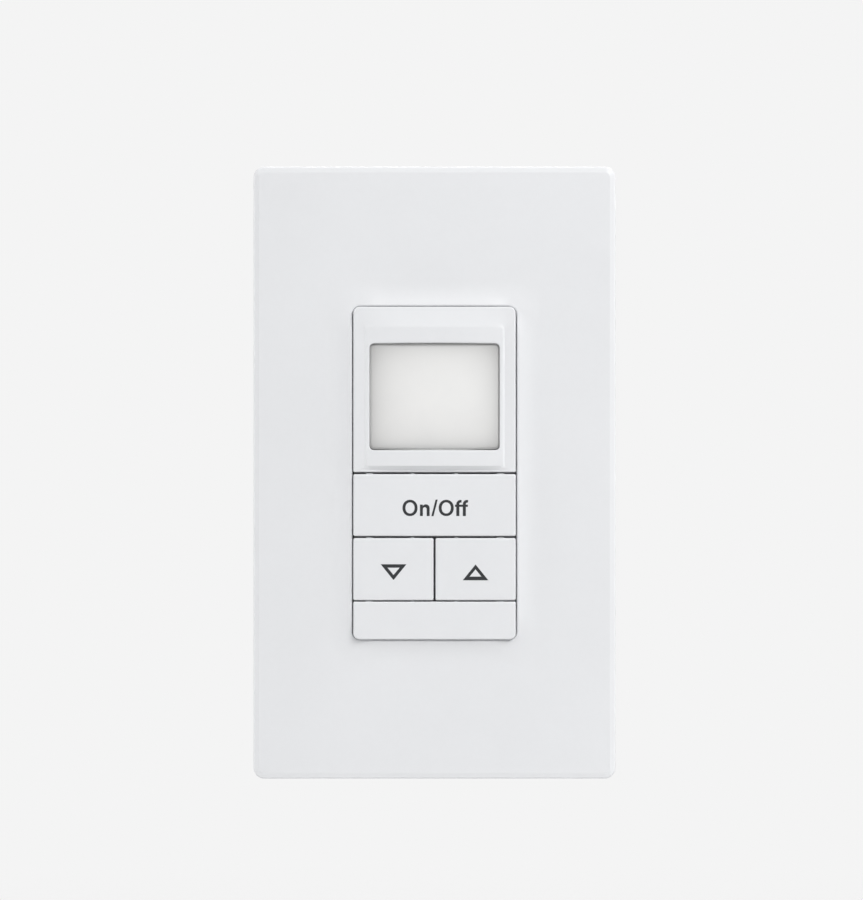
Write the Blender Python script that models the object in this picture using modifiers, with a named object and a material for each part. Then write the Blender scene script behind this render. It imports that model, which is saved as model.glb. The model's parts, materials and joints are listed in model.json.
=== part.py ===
"""Wall-mounted occupancy sensor switch with On/Off and dimming buttons.

Frame: +X to the right as seen from the front, +Z up, the front faces -Y and
the wall lies at Y = 0. The origin is the centre of the device on the wall
plane. Lengths below are millimetres and are turned into metres when built.
"""

import math

import bmesh
import bpy
from mathutils import Matrix, Vector

MM = 0.001

# ---------------------------------------------------------------- dimensions
GAP = 0.3  # clearance between pieces that touch

# wall plate
PLATE_W, PLATE_H = 72.5, 122.5
PLATE_CORNER = 2.2
PLATE_FACE = -6.8  # flat front of the plate
PLATE_EDGE_R = 1.3  # rounding from the front to the sides
PLATE_WALL = 1.8
COLLAR_TOP = -7.6  # crest of the raised collar
COLLAR_WIDTH = 5.0
OPENING_W, OPENING_H = 33.25, 67.3
OPENING_CORNER = 1.6
OPENING_LIP = -4.9  # rear edge of the lip inside the opening

# sub-frame that the plate clips to
SUB_W, SUB_H = 67.6, 117.4
SUB_FRONT, SUB_REAR = -3.3, -1.5
SUB_OPEN_W, SUB_OPEN_H = 38.6, 72.2
SUB_RIM = 1.4

# mounting strap
STRAP_T = 1.2
STRAP_L = 105.4
STRAP_BODY_W, STRAP_BODY_H = 43.0, 72.6
STRAP_NECK_W = 31.0
STRAP_EAR_W, STRAP_EAR_Z = 43.6, 46.4
STRAP_OPEN_W, STRAP_OPEN_H = 31.5, 55.0
BOX_SCREW_Z = 41.65  # standard box screw spacing is 83.3
PLATE_SCREW_Z = 48.4  # standard plate screw spacing is 96.8

# front housing
DEVICE_W = 32.4
DEVICE_TOP, DEVICE_BOTTOM = 33.35, -33.25
DEVICE_CORNER = 1.2
FLANGE_W, FLANGE_H = 37.0, 70.4
FLANGE_FRONT, FLANGE_REAR = -2.9, -1.5
BEZEL_EDGE = -8.1
PLATFORM = -8.8
FLOOR_FRONT = -4.2
SLOPE_SIDE, SLOPE_TOP, SLOPE_BOTTOM = 2.15, 3.9, 0.95
WINDOW_W, WINDOW_H, WINDOW_R = 26.0, 21.2, 0.9
WINDOW_Z = 15.25
CAVITY_W, CAVITY_TOP, CAVITY_BOTTOM = 28.8, 27.1, 3.4
CAVITY_FRONT = -7.3

# buttons
ROW_GAP = 0.5
ROW_1, ROW_2, ROW_3 = 0.0, -12.85, -25.65  # centre lines of the gaps
KEY_FACE = -8.2
KEY_REAR = -5.0
KEY_WALL, KEY_SKIN = 1.2, 1.4
KEY_EDGE = 0.3
POST_R = 1.2
POST_REAR = -3.6
SPACER_LIFT = 0.3

# sensor lens
LENS_W, LENS_H = 25.4, 20.6
LENS_T = 0.6
LENS_EDGE, LENS_CROWN = -8.0, -9.0
LENS_FLANGE = -7.0

# boards
CONTROL_FRONT, CONTROL_REAR = 1.3, 2.9
POWER_FRONT, POWER_REAR = 24.6, 26.2
DIVIDER_FRONT, DIVIDER_REAR = 6.6, 7.6

# rear housing
REAR_W, REAR_H = 42.7, 66.6
REAR_FRONT, REAR_BACK = 0.3, 33.0
REAR_WALL = 1.8
REAR_CORNER = 2.5
POST_TOP = (13.2, 29.4)
POST_LOW = (8.0, -29.4)
HOUSING_POST_R = 3.5
COUNTERBORE_Y = 9.0

# terminals
TERMINAL_Y = 18.5
TERMINAL_Z = 12.0
TERMINAL_HALF = 4.5
TERMINAL_FACE = 20.9
GROUND_X, GROUND_Z = -16.9, -29.2

# ------------------------------------------------------------- scene helpers
for old in list(bpy.data.objects):
    bpy.data.objects.remove(old, do_unlink=True)

scene = bpy.context.scene
parts = bpy.data.collections.new("occupancy_sensor_switch")
cutters = bpy.data.collections.new("cutters")
scene.collection.children.link(parts)
scene.collection.children.link(cutters)


def make_material(name, colour, roughness, metallic=0.0):
    mat = bpy.data.materials.new(name)
    mat.use_nodes = True
    shader = mat.node_tree.nodes["Principled BSDF"]
    shader.inputs["Base Color"].default_value = (*colour, 1.0)
    shader.inputs["Roughness"].default_value = roughness
    shader.inputs["Metallic"].default_value = metallic
    mat.diffuse_color = (*colour, 1.0)
    return mat


def mesh_object(name, bm, collection=parts, location=(0, 0, 0)):
    """A bmesh given in mm about `location`, as an object in metres."""
    bmesh.ops.scale(bm, vec=(MM, MM, MM), verts=bm.verts)
    bmesh.ops.recalc_face_normals(bm, faces=bm.faces)
    mesh = bpy.data.meshes.new(name)
    bm.to_mesh(mesh)
    bm.free()
    obj = bpy.data.objects.new(name, mesh)
    obj.location = Vector(location) * MM
    collection.objects.link(obj)
    return obj


def as_cutter(obj):
    for coll in list(obj.users_collection):
        coll.objects.unlink(obj)
    cutters.objects.link(obj)
    obj.hide_render = True
    obj.display_type = "WIRE"
    return obj


def finish(obj, material, smooth=None):
    """Give the piece its material, and smooth its round faces."""
    obj.data.materials.clear()
    obj.data.materials.append(material)
    if smooth is not None:
        obj.data.shade_smooth()
        obj.data.set_sharp_from_angle(angle=math.radians(smooth))
    return obj


def box(name, x, y, z, collection=parts):
    """A block between the given limits: x, y and z are (low, high)."""
    centre = [(a + b) / 2 for a, b in (x, y, z)]
    bm = bmesh.new()
    bmesh.ops.create_cube(bm, size=1.0)
    bmesh.ops.scale(
        bm, vec=(x[1] - x[0], y[1] - y[0], z[1] - z[0]), verts=bm.verts
    )
    return mesh_object(name, bm, collection, centre)


ALONG = {
    "X": Matrix.Rotation(math.radians(90), 3, "Y"),
    "-X": Matrix.Rotation(math.radians(-90), 3, "Y"),
    "Y": Matrix.Rotation(math.radians(-90), 3, "X"),
    "-Y": Matrix.Rotation(math.radians(90), 3, "X"),
    "Z": Matrix.Identity(3),
}


def rod(name, radius, start, length, along="Y", steps=24, tip=None, collection=parts):
    """A cylinder, or a cone with `tip`, from `start` along an axis."""
    bm = bmesh.new()
    bmesh.ops.create_cone(
        bm,
        cap_ends=True,
        segments=steps,
        radius1=radius,
        radius2=radius if tip is None else tip,
        depth=length,
    )
    bmesh.ops.translate(bm, vec=(0, 0, length / 2), verts=bm.verts)
    bmesh.ops.rotate(bm, cent=(0, 0, 0), matrix=ALONG[along], verts=bm.verts)
    return mesh_object(name, bm, collection, start)


def turned(name, profile, origin, along="Y", steps=20, collection=parts):
    """A turned solid. `profile` is (radius, height) from the top on the axis
    down its outer side to the bottom; height runs along `along`."""
    bm = bmesh.new()
    verts = [bm.verts.new((r, 0.0, h)) for r, h in profile]
    for a, b in zip(verts, verts[1:]):
        bm.edges.new((a, b))
    obj = mesh_object(name, bm, collection, origin)
    obj.rotation_euler = ALONG[along].to_euler()
    screw = obj.modifiers.new("turn", "SCREW")
    screw.axis = "Z"
    screw.steps = steps
    screw.render_steps = steps
    screw.use_merge_vertices = True
    screw.merge_threshold = 0.00001
    screw.use_smooth_shade = True
    return obj


def rounded_rect(x, z, radius, steps=4):
    """Points round a rectangle with rounded corners, counter-clockwise.
    `radius` may be one value or one for each corner, from the low-x low-z
    corner round."""
    radii = radius if isinstance(radius, (tuple, list)) else (radius,) * 4
    corners = ((x[0], z[0], 180), (x[1], z[0], 270), (x[1], z[1], 0), (x[0], z[1], 90))
    signs = ((1, 1), (-1, 1), (-1, -1), (1, -1))
    points = []
    for (cx, cz, begin), (sx, sz), r in zip(corners, signs, radii):
        if r <= 0:
            points.append((cx, cz))
            continue
        for i in range(steps + 1):
            a = math.radians(begin + 90 * i / steps)
            points.append((cx + sx * r + r * math.cos(a), cz + sz * r + r * math.sin(a)))
    return points


def slab(name, outline, y, collection=parts):
    """A flat outline in X and Z, filled and extruded between two Y values."""
    curve = bpy.data.curves.new(name, "CURVE")
    curve.dimensions = "2D"
    curve.fill_mode = "BOTH"
    curve.extrude = (y[1] - y[0]) / 2 * MM
    spline = curve.splines.new("POLY")
    spline.points.add(len(outline) - 1)
    for point, (px, pz) in zip(spline.points, outline):
        point.co = (px * MM, pz * MM, 0.0, 1.0)
    spline.use_cyclic_u = True
    raw = bpy.data.objects.new(name + "_outline", curve)
    raw.location = (0.0, (y[0] + y[1]) / 2 * MM, 0.0)
    raw.rotation_euler = (math.radians(90), 0.0, 0.0)
    collection.objects.link(raw)
    bpy.context.view_layer.update()
    graph = bpy.context.evaluated_depsgraph_get()
    mesh = bpy.data.meshes.new_from_object(raw.evaluated_get(graph))
    bm = bmesh.new()
    bm.from_mesh(mesh)
    bmesh.ops.remove_doubles(bm, verts=bm.verts, dist=0.002 * MM)
    bmesh.ops.recalc_face_normals(bm, faces=bm.faces)
    bm.to_mesh(mesh)
    bm.free()
    mesh.name = name
    obj = bpy.data.objects.new(name, mesh)
    obj.matrix_world = raw.matrix_world.copy()
    collection.objects.link(obj)
    bpy.data.objects.remove(raw, do_unlink=True)
    return obj


def combine(target, operation, *others):
    for other in others:
        as_cutter(other)
        step = target.modifiers.new(f"{operation.lower()}_{other.name}", "BOOLEAN")
        step.operation = operation
        step.solver = "EXACT"
        step.object = other
    return target


def cut(target, *others):
    return combine(target, "DIFFERENCE", *others)


def join(target, *others):
    return combine(target, "UNION", *others)


def soften(obj, width, segments=2, angle=40):
    """Round the sharp edges that the shape has at this point."""
    bevel = obj.modifiers.new("edges", "BEVEL")
    bevel.width = width * MM
    bevel.segments = segments
    bevel.limit_method = "ANGLE"
    bevel.angle_limit = math.radians(angle)
    return obj


def soften_rim(obj, axis, sign, width, segments=2):
    """Round only the edges round one end face of a block or slab, the end
    that lies furthest along `sign` times the mesh's own `axis`."""
    bm = bmesh.new()
    bm.from_mesh(obj.data)
    bm.normal_update()
    end = max(sign * v.co[axis] for v in bm.verts)
    edges = [
        e
        for e in bm.edges
        if all(abs(sign * v.co[axis] - end) < 1e-7 for v in e.verts)
        and any(abs(f.normal[axis]) < 0.5 for f in e.link_faces)
    ]
    bmesh.ops.bevel(
        bm,
        geom=edges,
        offset=width * MM,
        segments=segments,
        profile=0.5,
        affect="EDGES",
    )
    bm.to_mesh(obj.data)
    bm.free()
    return obj


def skin(name, rings, close_first=False, close_last=False, collection=parts):
    """A skin through a row of like rings: the first ring, a list of (x, y, z),
    is extruded to each of the next. An open skin is turned so that its
    largest front face looks to -Y."""
    bm = bmesh.new()
    verts = [bm.verts.new(p) for p in rings[0]]
    count = len(verts)
    edges = [bm.edges.new((verts[i], verts[(i + 1) % count])) for i in range(count)]
    loops = [edges]
    for ring_points in rings[1:]:
        made = bmesh.ops.extrude_edge_only(bm, edges=loops[-1])["geom"]
        new = {g for g in made if isinstance(g, bmesh.types.BMVert)}
        verts = [
            next(e.other_vert(v) for e in v.link_edges if e.other_vert(v) in new)
            for v in verts
        ]
        for v, p in zip(verts, ring_points):
            v.co = p
        loops.append(
            [bm.edges.get((verts[i], verts[(i + 1) % count])) for i in range(count)]
        )
    for wanted, loop in ((close_first, loops[0]), (close_last, loops[-1])):
        if wanted:
            bmesh.ops.contextual_create(bm, geom=loop)
    obj = mesh_object(name, bm, collection)
    mesh = obj.data
    front = max(mesh.polygons, key=lambda f: abs(f.normal.y) * f.area)
    if front.normal.y > 0 and not (close_first and close_last):
        mesh.flip_normals()
    return obj


def ring(half_w, half_h, radius, y, centre_z=0.0, steps=4, centre_x=0.0):
    points = rounded_rect(
        (centre_x - half_w, centre_x + half_w),
        (centre_z - half_h, centre_z + half_h),
        max(radius, 0.02),
        steps,
    )
    return [(x, y, z) for x, z in points]


def slot_recess(name, centre, along, width, length, depth, turn=0.0):
    """A driver slot cut into a screw head; `centre` is on the head's face and
    the cutter runs from 1 mm outside it down to `depth`."""
    bm = bmesh.new()
    bmesh.ops.create_cube(bm, size=1.0)
    bmesh.ops.scale(bm, vec=(length, width, depth + 1.0), verts=bm.verts)
    bmesh.ops.translate(bm, vec=(0, 0, (1.0 - depth) / 2), verts=bm.verts)
    bmesh.ops.rotate(
        bm, cent=(0, 0, 0), matrix=Matrix.Rotation(math.radians(turn), 3, "Z"), verts=bm.verts
    )
    bmesh.ops.rotate(bm, cent=(0, 0, 0), matrix=ALONG[along], verts=bm.verts)
    return mesh_object(name, bm, cutters, centre)


# ----------------------------------------------------------------- materials
plate_white = make_material("plate_white", (0.80, 0.81, 0.82), 0.42)
key_white = make_material("key_white", (0.79, 0.80, 0.81), 0.45)
lens_milky = make_material("lens_milky", (0.78, 0.78, 0.76), 0.5)
inner_white = make_material("inner_white", (0.70, 0.71, 0.71), 0.5)
black_plastic = make_material("black_plastic", (0.03, 0.03, 0.03), 0.5)
grey_plastic = make_material("grey_plastic", (0.30, 0.31, 0.32), 0.5)
zinc_steel = make_material("zinc_steel", (0.62, 0.62, 0.60), 0.35, 1.0)
brass = make_material("brass", (0.72, 0.52, 0.22), 0.35, 1.0)
green_steel = make_material("green_steel", (0.05, 0.30, 0.10), 0.45, 0.3)
board_green = make_material("board_green", (0.03, 0.18, 0.07), 0.5)
chip_black = make_material("chip_black", (0.02, 0.02, 0.02), 0.45)
relay_black = make_material("relay_black", (0.03, 0.03, 0.035), 0.4)
capacitor_sleeve = make_material("capacitor_sleeve", (0.03, 0.04, 0.08), 0.4)
film_yellow = make_material("film_yellow", (0.75, 0.55, 0.08), 0.5)
coil_tape = make_material("coil_tape", (0.70, 0.55, 0.15), 0.5)
absorber_blue = make_material("absorber_blue", (0.05, 0.12, 0.40), 0.5)
fuse_ceramic = make_material("fuse_ceramic", (0.75, 0.74, 0.70), 0.5)
filter_dark = make_material("filter_dark", (0.06, 0.05, 0.05), 0.2)
led_clear = make_material("led_clear", (0.85, 0.85, 0.75), 0.2)
terminal_green = make_material("terminal_green", (0.05, 0.32, 0.12), 0.5)

# ---------------------------------------------------------------- wall plate
half_w, half_h = PLATE_W / 2, PLATE_H / 2
open_w, open_h = OPENING_W / 2, OPENING_H / 2
plate_rings = [
    ring(open_w, open_h, OPENING_CORNER, OPENING_LIP),
    ring(open_w, open_h, OPENING_CORNER, COLLAR_TOP + 0.25),
    ring(open_w + 0.08, open_h + 0.08, OPENING_CORNER + 0.08, COLLAR_TOP + 0.07),
    ring(open_w + 0.28, open_h + 0.28, OPENING_CORNER + 0.28, COLLAR_TOP),
    ring(
        open_w + COLLAR_WIDTH,
        open_h + COLLAR_WIDTH,
        OPENING_CORNER + COLLAR_WIDTH,
        PLATE_FACE,
    ),
]
for degrees in (0, 30, 60, 90):
    a = math.radians(degrees)
    inset = PLATE_EDGE_R * (1 - math.sin(a))
    plate_rings.append(
        ring(
            half_w - inset,
            half_h - inset,
            PLATE_CORNER - inset,
            PLATE_FACE + PLATE_EDGE_R * (1 - math.cos(a)),
        )
    )
plate_rings.append(ring(half_w, half_h, PLATE_CORNER, 0.0))

wall_plate = skin("wall_plate", plate_rings)
shell = wall_plate.modifiers.new("wall", "SOLIDIFY")
shell.thickness = PLATE_WALL * MM
shell.offset = -1.0
shell.use_even_offset = True

# catches inside the side walls and the end walls, which hook behind the rim
inner_w, inner_h = half_w - PLATE_WALL, half_h - PLATE_WALL
CATCH_Y = (-1.25, -0.35)
for side in (-1, 1):
    for z in (-38.0, 38.0):
        xs = sorted((side * (inner_w + 0.6), side * (inner_w - 1.3)))
        join(wall_plate, box(f"catch_{side}_{z:.0f}", xs, CATCH_Y, (z - 4, z + 4), cutters))
    for x in (-17.0, 17.0):
        zs = sorted((side * (inner_h + 0.6), side * (inner_h - 1.3)))
        join(wall_plate, box(f"end_catch_{side}_{x:.0f}", (x - 4, x + 4), CATCH_Y, zs, cutters))
# pry notch in the lower edge, where a blade lifts the plate off
cut(
    wall_plate,
    box("pry_notch", (-4, 4), (-1.4, 1.0), (-half_h - 1, -half_h + PLATE_WALL + 1), cutters),
)
finish(wall_plate, plate_white, 35)

# ----------------------------------------------------------------- sub-frame
plate_subframe = slab(
    "plate_subframe",
    rounded_rect((-SUB_W / 2, SUB_W / 2), (-SUB_H / 2, SUB_H / 2), 1.5, 3),
    (SUB_FRONT, -0.3),
)
cut(
    plate_subframe,
    # hollow behind the web, so that a rim is left round the edge
    slab(
        "sub_hollow",
        rounded_rect(
            (-SUB_W / 2 + SUB_RIM, SUB_W / 2 - SUB_RIM),
            (-SUB_H / 2 + SUB_RIM, SUB_H / 2 - SUB_RIM),
            1.0,
            2,
        ),
        (SUB_REAR, 1.0),
        cutters,
    ),
    slab(
        "sub_opening",
        rounded_rect(
            (-SUB_OPEN_W / 2, SUB_OPEN_W / 2), (-SUB_OPEN_H / 2, SUB_OPEN_H / 2), 2.0, 3
        ),
        (SUB_FRONT - 1, 1.0),
        cutters,
    ),
)
for side in (-1, 1):
    # the rim stops short at each catch of the plate
    for z in (-38.0, 38.0):
        xs = sorted((side * (SUB_W / 2 + 1), side * (SUB_W / 2 - SUB_RIM - 0.6)))
        cut(plate_subframe, box(f"rim_gap_{side}_{z:.0f}", xs, (SUB_REAR, 1), (z - 5, z + 5), cutters))
    for x in (-17.0, 17.0):
        zs = sorted((side * (SUB_H / 2 + 1), side * (SUB_H / 2 - SUB_RIM - 0.6)))
        cut(
            plate_subframe,
            box(f"end_gap_{side}_{x:.0f}", (x - 5, x + 5), (SUB_REAR, 1), zs, cutters),
        )
    z = side * BOX_SCREW_Z
    cut(plate_subframe, rod(f"head_clear_{side}", 4.3, (0, -5, z), 6, "Y", 20, None, cutters))
    z = side * PLATE_SCREW_Z
    cut(
        plate_subframe,
        rod(f"plate_screw_sink_{side}", 3.9, (0, -5, z), 2.7, "Y", 20, None, cutters),
        rod(f"plate_screw_hole_{side}", 2.1, (0, -5, z), 6, "Y", 16, None, cutters),
    )
    # windows that lighten the ends of the frame
    for x in (-21.5, 21.5):
        cut(
            plate_subframe,
            slab(
                f"sub_window_{side}_{x:.0f}",
                rounded_rect((x - 5.5, x + 5.5), sorted((side * 41.5, side * 51.0)), 1.5, 2),
                (SUB_FRONT - 1, 1.0),
                cutters,
            ),
        )
finish(plate_subframe, inner_white, 35)

# ------------------------------------------------------------ mounting strap
mounting_strap = slab(
    "mounting_strap",
    rounded_rect(
        (-STRAP_BODY_W / 2, STRAP_BODY_W / 2), (-STRAP_BODY_H / 2, STRAP_BODY_H / 2), 2.0, 3
    ),
    (-STRAP_T, 0.0),
)
for side in (-1, 1):
    neck_z = sorted((side * (STRAP_BODY_H / 2 - 2), side * (STRAP_EAR_Z + 2)))
    ear_z = sorted((side * STRAP_EAR_Z, side * STRAP_L / 2))
    join(
        mounting_strap,
        box(f"neck_{side}", (-STRAP_NECK_W / 2, STRAP_NECK_W / 2), (-STRAP_T, 0.0), neck_z, cutters),
        slab(
            f"ear_{side}",
            rounded_rect((-STRAP_EAR_W / 2, STRAP_EAR_W / 2), ear_z, 2.0, 3),
            (-STRAP_T, 0.0),
            cutters,
        ),
    )
cut(
    mounting_strap,
    slab(
        "strap_opening",
        rounded_rect(
            (-STRAP_OPEN_W / 2, STRAP_OPEN_W / 2), (-STRAP_OPEN_H / 2, STRAP_OPEN_H / 2), 1.5, 2
        ),
        (-3, 2),
        cutters,
    ),
)
for side in (-1, 1):
    z = side * BOX_SCREW_Z
    cut(
        mounting_strap,
        slab(
            f"box_screw_slot_{side}",
            rounded_rect((-3.6, 3.6), (z - 2.1, z + 2.1), 2.05, 4),
            (-3, 2),
            cutters,
        ),
        rod(f"plate_screw_tap_{side}", 2.05, (0, -3, side * PLATE_SCREW_Z), 5, "Y", 16, None, cutters),
    )
    # score lines that let the ears break off
    for x in (-1, 1):
        xs = sorted((x * 16.2, x * 16.8))
        cut(
            mounting_strap,
            box(
                f"ear_score_{side}_{x}",
                xs,
                (-STRAP_T - 1, -STRAP_T + 0.45),
                sorted((side * (STRAP_EAR_Z - 2), side * (STRAP_L / 2 + 2))),
                cutters,
            ),
        )
for name, (x, z), (sx, sz) in (
    ("a", POST_TOP, (1, 1)),
    ("b", POST_TOP, (-1, 1)),
    ("c", POST_LOW, (1, 1)),
    ("d", POST_LOW, (-1, 1)),
):
    cut(
        mounting_strap,
        rod(f"strap_post_hole_{name}", 1.75, (sx * x, -3, sz * z), 5, "Y", 16, None, cutters),
    )
cut(
    mounting_strap,
    rod("ground_tap", 2.05, (GROUND_X, -3, GROUND_Z), 5, "Y", 16, None, cutters),
)
finish(mounting_strap, zinc_steel, 35)

# ------------------------------------------------------------- front housing
front_housing = slab(
    "front_housing",
    rounded_rect(
        (-DEVICE_W / 2, DEVICE_W / 2), (DEVICE_BOTTOM, DEVICE_TOP), DEVICE_CORNER, 3
    ),
    (BEZEL_EDGE, FLANGE_REAR - 0.4),
)
soften_rim(front_housing, 2, 1, 0.25, 1)


def sloped_platform():
    """The raised field round the lens, which slopes down to the bezel's edges
    by a different amount on each side."""
    edge = 0.35
    x = DEVICE_W / 2 - edge
    low, high = ROW_1 + ROW_GAP / 2 + edge, DEVICE_TOP - edge
    top_low, top_high = low + SLOPE_BOTTOM, high - SLOPE_TOP
    outline = (x, (high - low) / 2, 0.8)
    middle = (high + low) / 2
    rings = [
        ring(*outline, BEZEL_EDGE + 0.5, middle, 2),
        ring(*outline, BEZEL_EDGE, middle, 2),
        ring(
            x - SLOPE_SIDE, (top_high - top_low) / 2, 0.4, PLATFORM, (top_high + top_low) / 2, 2
        ),
    ]
    return skin("sloped_platform", rings, close_first=True, close_last=True, collection=cutters)


join(
    front_housing,
    slab(
        "housing_flange",
        rounded_rect((-FLANGE_W / 2, FLANGE_W / 2), (-FLANGE_H / 2, FLANGE_H / 2), 2.0, 3),
        (FLANGE_FRONT, FLANGE_REAR),
        cutters,
    ),
)
cut(
    front_housing,
    # the recess that the buttons stand in, open at both sides
    box(
        "button_recess",
        (-DEVICE_W / 2 - 1, DEVICE_W / 2 + 1),
        (-12, FLOOR_FRONT),
        (ROW_3 - ROW_GAP / 2, ROW_1 + ROW_GAP / 2),
        cutters,
    ),
)
join(front_housing, sloped_platform())
cut(
    front_housing,
    slab(
        "lens_window",
        rounded_rect(
            (-WINDOW_W / 2, WINDOW_W / 2),
            (WINDOW_Z - WINDOW_H / 2, WINDOW_Z + WINDOW_H / 2),
            WINDOW_R,
            3,
        ),
        (-12, -5),
        cutters,
    ),
    box(
        "lens_cavity",
        (-CAVITY_W / 2, CAVITY_W / 2),
        (CAVITY_FRONT, 2),
        (CAVITY_BOTTOM, CAVITY_TOP),
        cutters,
    ),
    box(
        "rear_pocket",
        (-CAVITY_W / 2, CAVITY_W / 2),
        (FLANGE_FRONT, 2),
        (-25.2, CAVITY_BOTTOM + 1),
        cutters,
    ),
)
for name, (x, z) in (
    ("a", POST_TOP),
    ("b", (-POST_TOP[0], POST_TOP[1])),
    ("c", POST_LOW),
    ("d", (-POST_LOW[0], POST_LOW[1])),
):
    cut(
        front_housing,
        rod(f"screw_pilot_{name}", 1.5, (x, -6.5, z), 8, "Y", 12, None, cutters),
    )
cut(
    front_housing,
    rod("ground_clear", 2.4, (GROUND_X, -4.6, GROUND_Z), 6, "Y", 12, None, cutters),
)

# button layout: name, (x low, x high), (z low, z high), plunger (x, z), hooks
inner = ROW_GAP / 2
rows = {
    "on_off": (ROW_2 + inner, ROW_1 - inner),
    "arrows": (ROW_3 + inner, ROW_2 - inner),
}
SPLIT = 0.45
BUTTONS = (
    ("on_off_button", (-DEVICE_W / 2, DEVICE_W / 2), rows["on_off"], (-12.0, 12.0)),
    ("dim_down_button", (-DEVICE_W / 2, -SPLIT / 2), rows["arrows"], (-12.9, -2.7)),
    ("dim_up_button", (SPLIT / 2, DEVICE_W / 2), rows["arrows"], (2.7, 12.9)),
)
SPACERS = ((-12.8, 1.4), (-4.5, 1.0), (4.2, 1.0), (13.0, 1.4))

plungers = []
for name, xs, zs, hooks in BUTTONS:
    cx, cz = (xs[0] + xs[1]) / 2, (zs[0] + zs[1]) / 2
    plungers.append((name, cx, cz))
    cut(
        front_housing,
        rod(f"{name}_post_hole", 1.9, (cx, -6, cz), 5, "Y", 16, None, cutters),
    )
    for hook in hooks:
        cut(
            front_housing,
            box(
                f"{name}_hook_slot_{hook:.0f}",
                (hook - 1.5, hook + 1.5),
                (-6, -1),
                (cz - 0.85, cz + 0.85),
                cutters,
            ),
        )
# pegs that press on the control board
for i, (x, z) in enumerate(((-13.2, 1.9), (13.2, 1.9), (-12.6, -22.6), (12.6, -22.6))):
    join(
        front_housing,
        rod(f"board_peg_{i}", 1.0, (x, FLANGE_FRONT - 0.5, z), 4.4, "Y", 12, None, cutters),
    )
# spacers on the upper edge of the blank bottom section
for i, (x, width) in enumerate(SPACERS):
    top = ROW_3 - inner
    join(
        front_housing,
        box(
            f"bottom_spacer_{i}",
            (x - width / 2, x + width / 2),
            (KEY_FACE + 0.4, FLOOR_FRONT + 0.2),
            (top - 0.4, top + 0.25),
            cutters,
        ),
    )
finish(front_housing, key_white, 30)

# -------------------------------------------------------------------- buttons
buttons = {}
for (name, xs, zs, hooks), (_, cx, cz) in zip(BUTTONS, plungers):
    key = box(name, xs, (KEY_FACE, KEY_REAR), zs)
    soften_rim(key, 1, -1, KEY_EDGE, 2)
    cut(
        key,
        box(
            f"{name}_hollow",
            (xs[0] + KEY_WALL, xs[1] - KEY_WALL),
            (KEY_FACE + KEY_SKIN, 0),
            (zs[0] + KEY_WALL, zs[1] - KEY_WALL),
            cutters,
        ),
    )
    front = KEY_FACE + KEY_SKIN - 0.4
    join(
        key,
        rod(f"{name}_post", POST_R, (cx, front, cz), POST_REAR - front, "Y", 12, None, cutters),
        box(
            f"{name}_rib",
            (xs[0] + 0.6, xs[1] - 0.6),
            (front, KEY_REAR - 0.6),
            (cz - 0.4, cz + 0.4),
            cutters,
        ),
    )
    for hook in hooks:
        join(
            key,
            box(
                f"{name}_hook_{hook:.0f}",
                (hook - 1.1, hook + 1.1),
                (front, -1.9),
                (cz - 0.5, cz + 0.5),
                cutters,
            ),
            box(
                f"{name}_barb_{hook:.0f}",
                (hook - 1.1, hook + 1.1),
                (-2.55, -1.9),
                (cz + 0.2, cz + 1.25),
                cutters,
            ),
        )
    for i, (x, width) in enumerate(SPACERS):
        if xs[0] < x < xs[1]:
            join(
                key,
                box(
                    f"{name}_spacer_{i}",
                    (x - width / 2, x + width / 2),
                    (KEY_FACE + 0.4, KEY_REAR - 0.3),
                    (zs[1] - 0.4, zs[1] + 0.25),
                    cutters,
                ),
            )
    buttons[name] = finish(key, key_white, 30)

# ---------------------------------------------------------------- sensor lens
lens_hw, lens_hh = LENS_W / 2, LENS_H / 2
lens_rings = [
    ring(lens_hw + 1.2, lens_hh + 1.2, 1.2, LENS_FLANGE, WINDOW_Z),
    ring(lens_hw, lens_hh, 0.7, LENS_FLANGE, WINDOW_Z),
    ring(lens_hw, lens_hh, 0.7, LENS_EDGE, WINDOW_Z),
]
for share, drop in ((0.965, 0.16), (0.90, 0.40), (0.80, 0.64), (0.62, 0.85), (0.35, 0.97), (0.10, 1.0)):
    lens_rings.append(
        ring(
            lens_hw * share,
            lens_hh * share,
            max(0.7 * share, 0.2) + (1 - share) * 2.0 * share,
            LENS_EDGE + (LENS_CROWN - LENS_EDGE) * drop,
            WINDOW_Z,
        )
    )
fresnel_lens = skin("fresnel_lens", lens_rings, close_last=True)
lens_wall = fresnel_lens.modifiers.new("wall", "SOLIDIFY")
lens_wall.thickness = LENS_T * MM
lens_wall.offset = -1.0
lens_wall.use_even_offset = True
finish(fresnel_lens, lens_milky, 40)

# lens holder: a frame behind the lens flange, on four legs to the board
lens_holder = box(
    "lens_holder",
    (-14.0, 14.0),
    (-6.1, -4.9),
    (CAVITY_BOTTOM + 0.4, CAVITY_TOP - 0.4),
)
cut(
    lens_holder,
    box("holder_opening", (-11.6, 11.6), (-8, 0), (WINDOW_Z - 9.4, WINDOW_Z + 9.4), cutters),
)
for i, (x, z) in enumerate(((-13.0, 6.0), (13.0, 6.0), (-13.0, 24.3), (13.0, 24.3))):
    join(
        lens_holder,
        box(
            f"holder_leg_{i}", (x - 0.9, x + 0.9), (-5.4, CONTROL_FRONT - GAP), (z - 0.9, z + 0.9), cutters
        ),
    )
finish(lens_holder, black_plastic)

# --------------------------------------------------------------- control board
NOTCH_X, NOTCH_Z = -10.6, -23.2  # the boards are cut away round the ground screw


def board(name, half_width, low, high, y):
    """A board or sheet in the rear housing, with one corner cut away."""
    obj = box(name, (-half_width, half_width), y, (low, high))
    corner = box(
        f"{name}_corner", (-half_width - 1, NOTCH_X), (y[0] - 1, y[1] + 1), (low - 1, NOTCH_Z), cutters
    )
    return cut(obj, corner)


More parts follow.
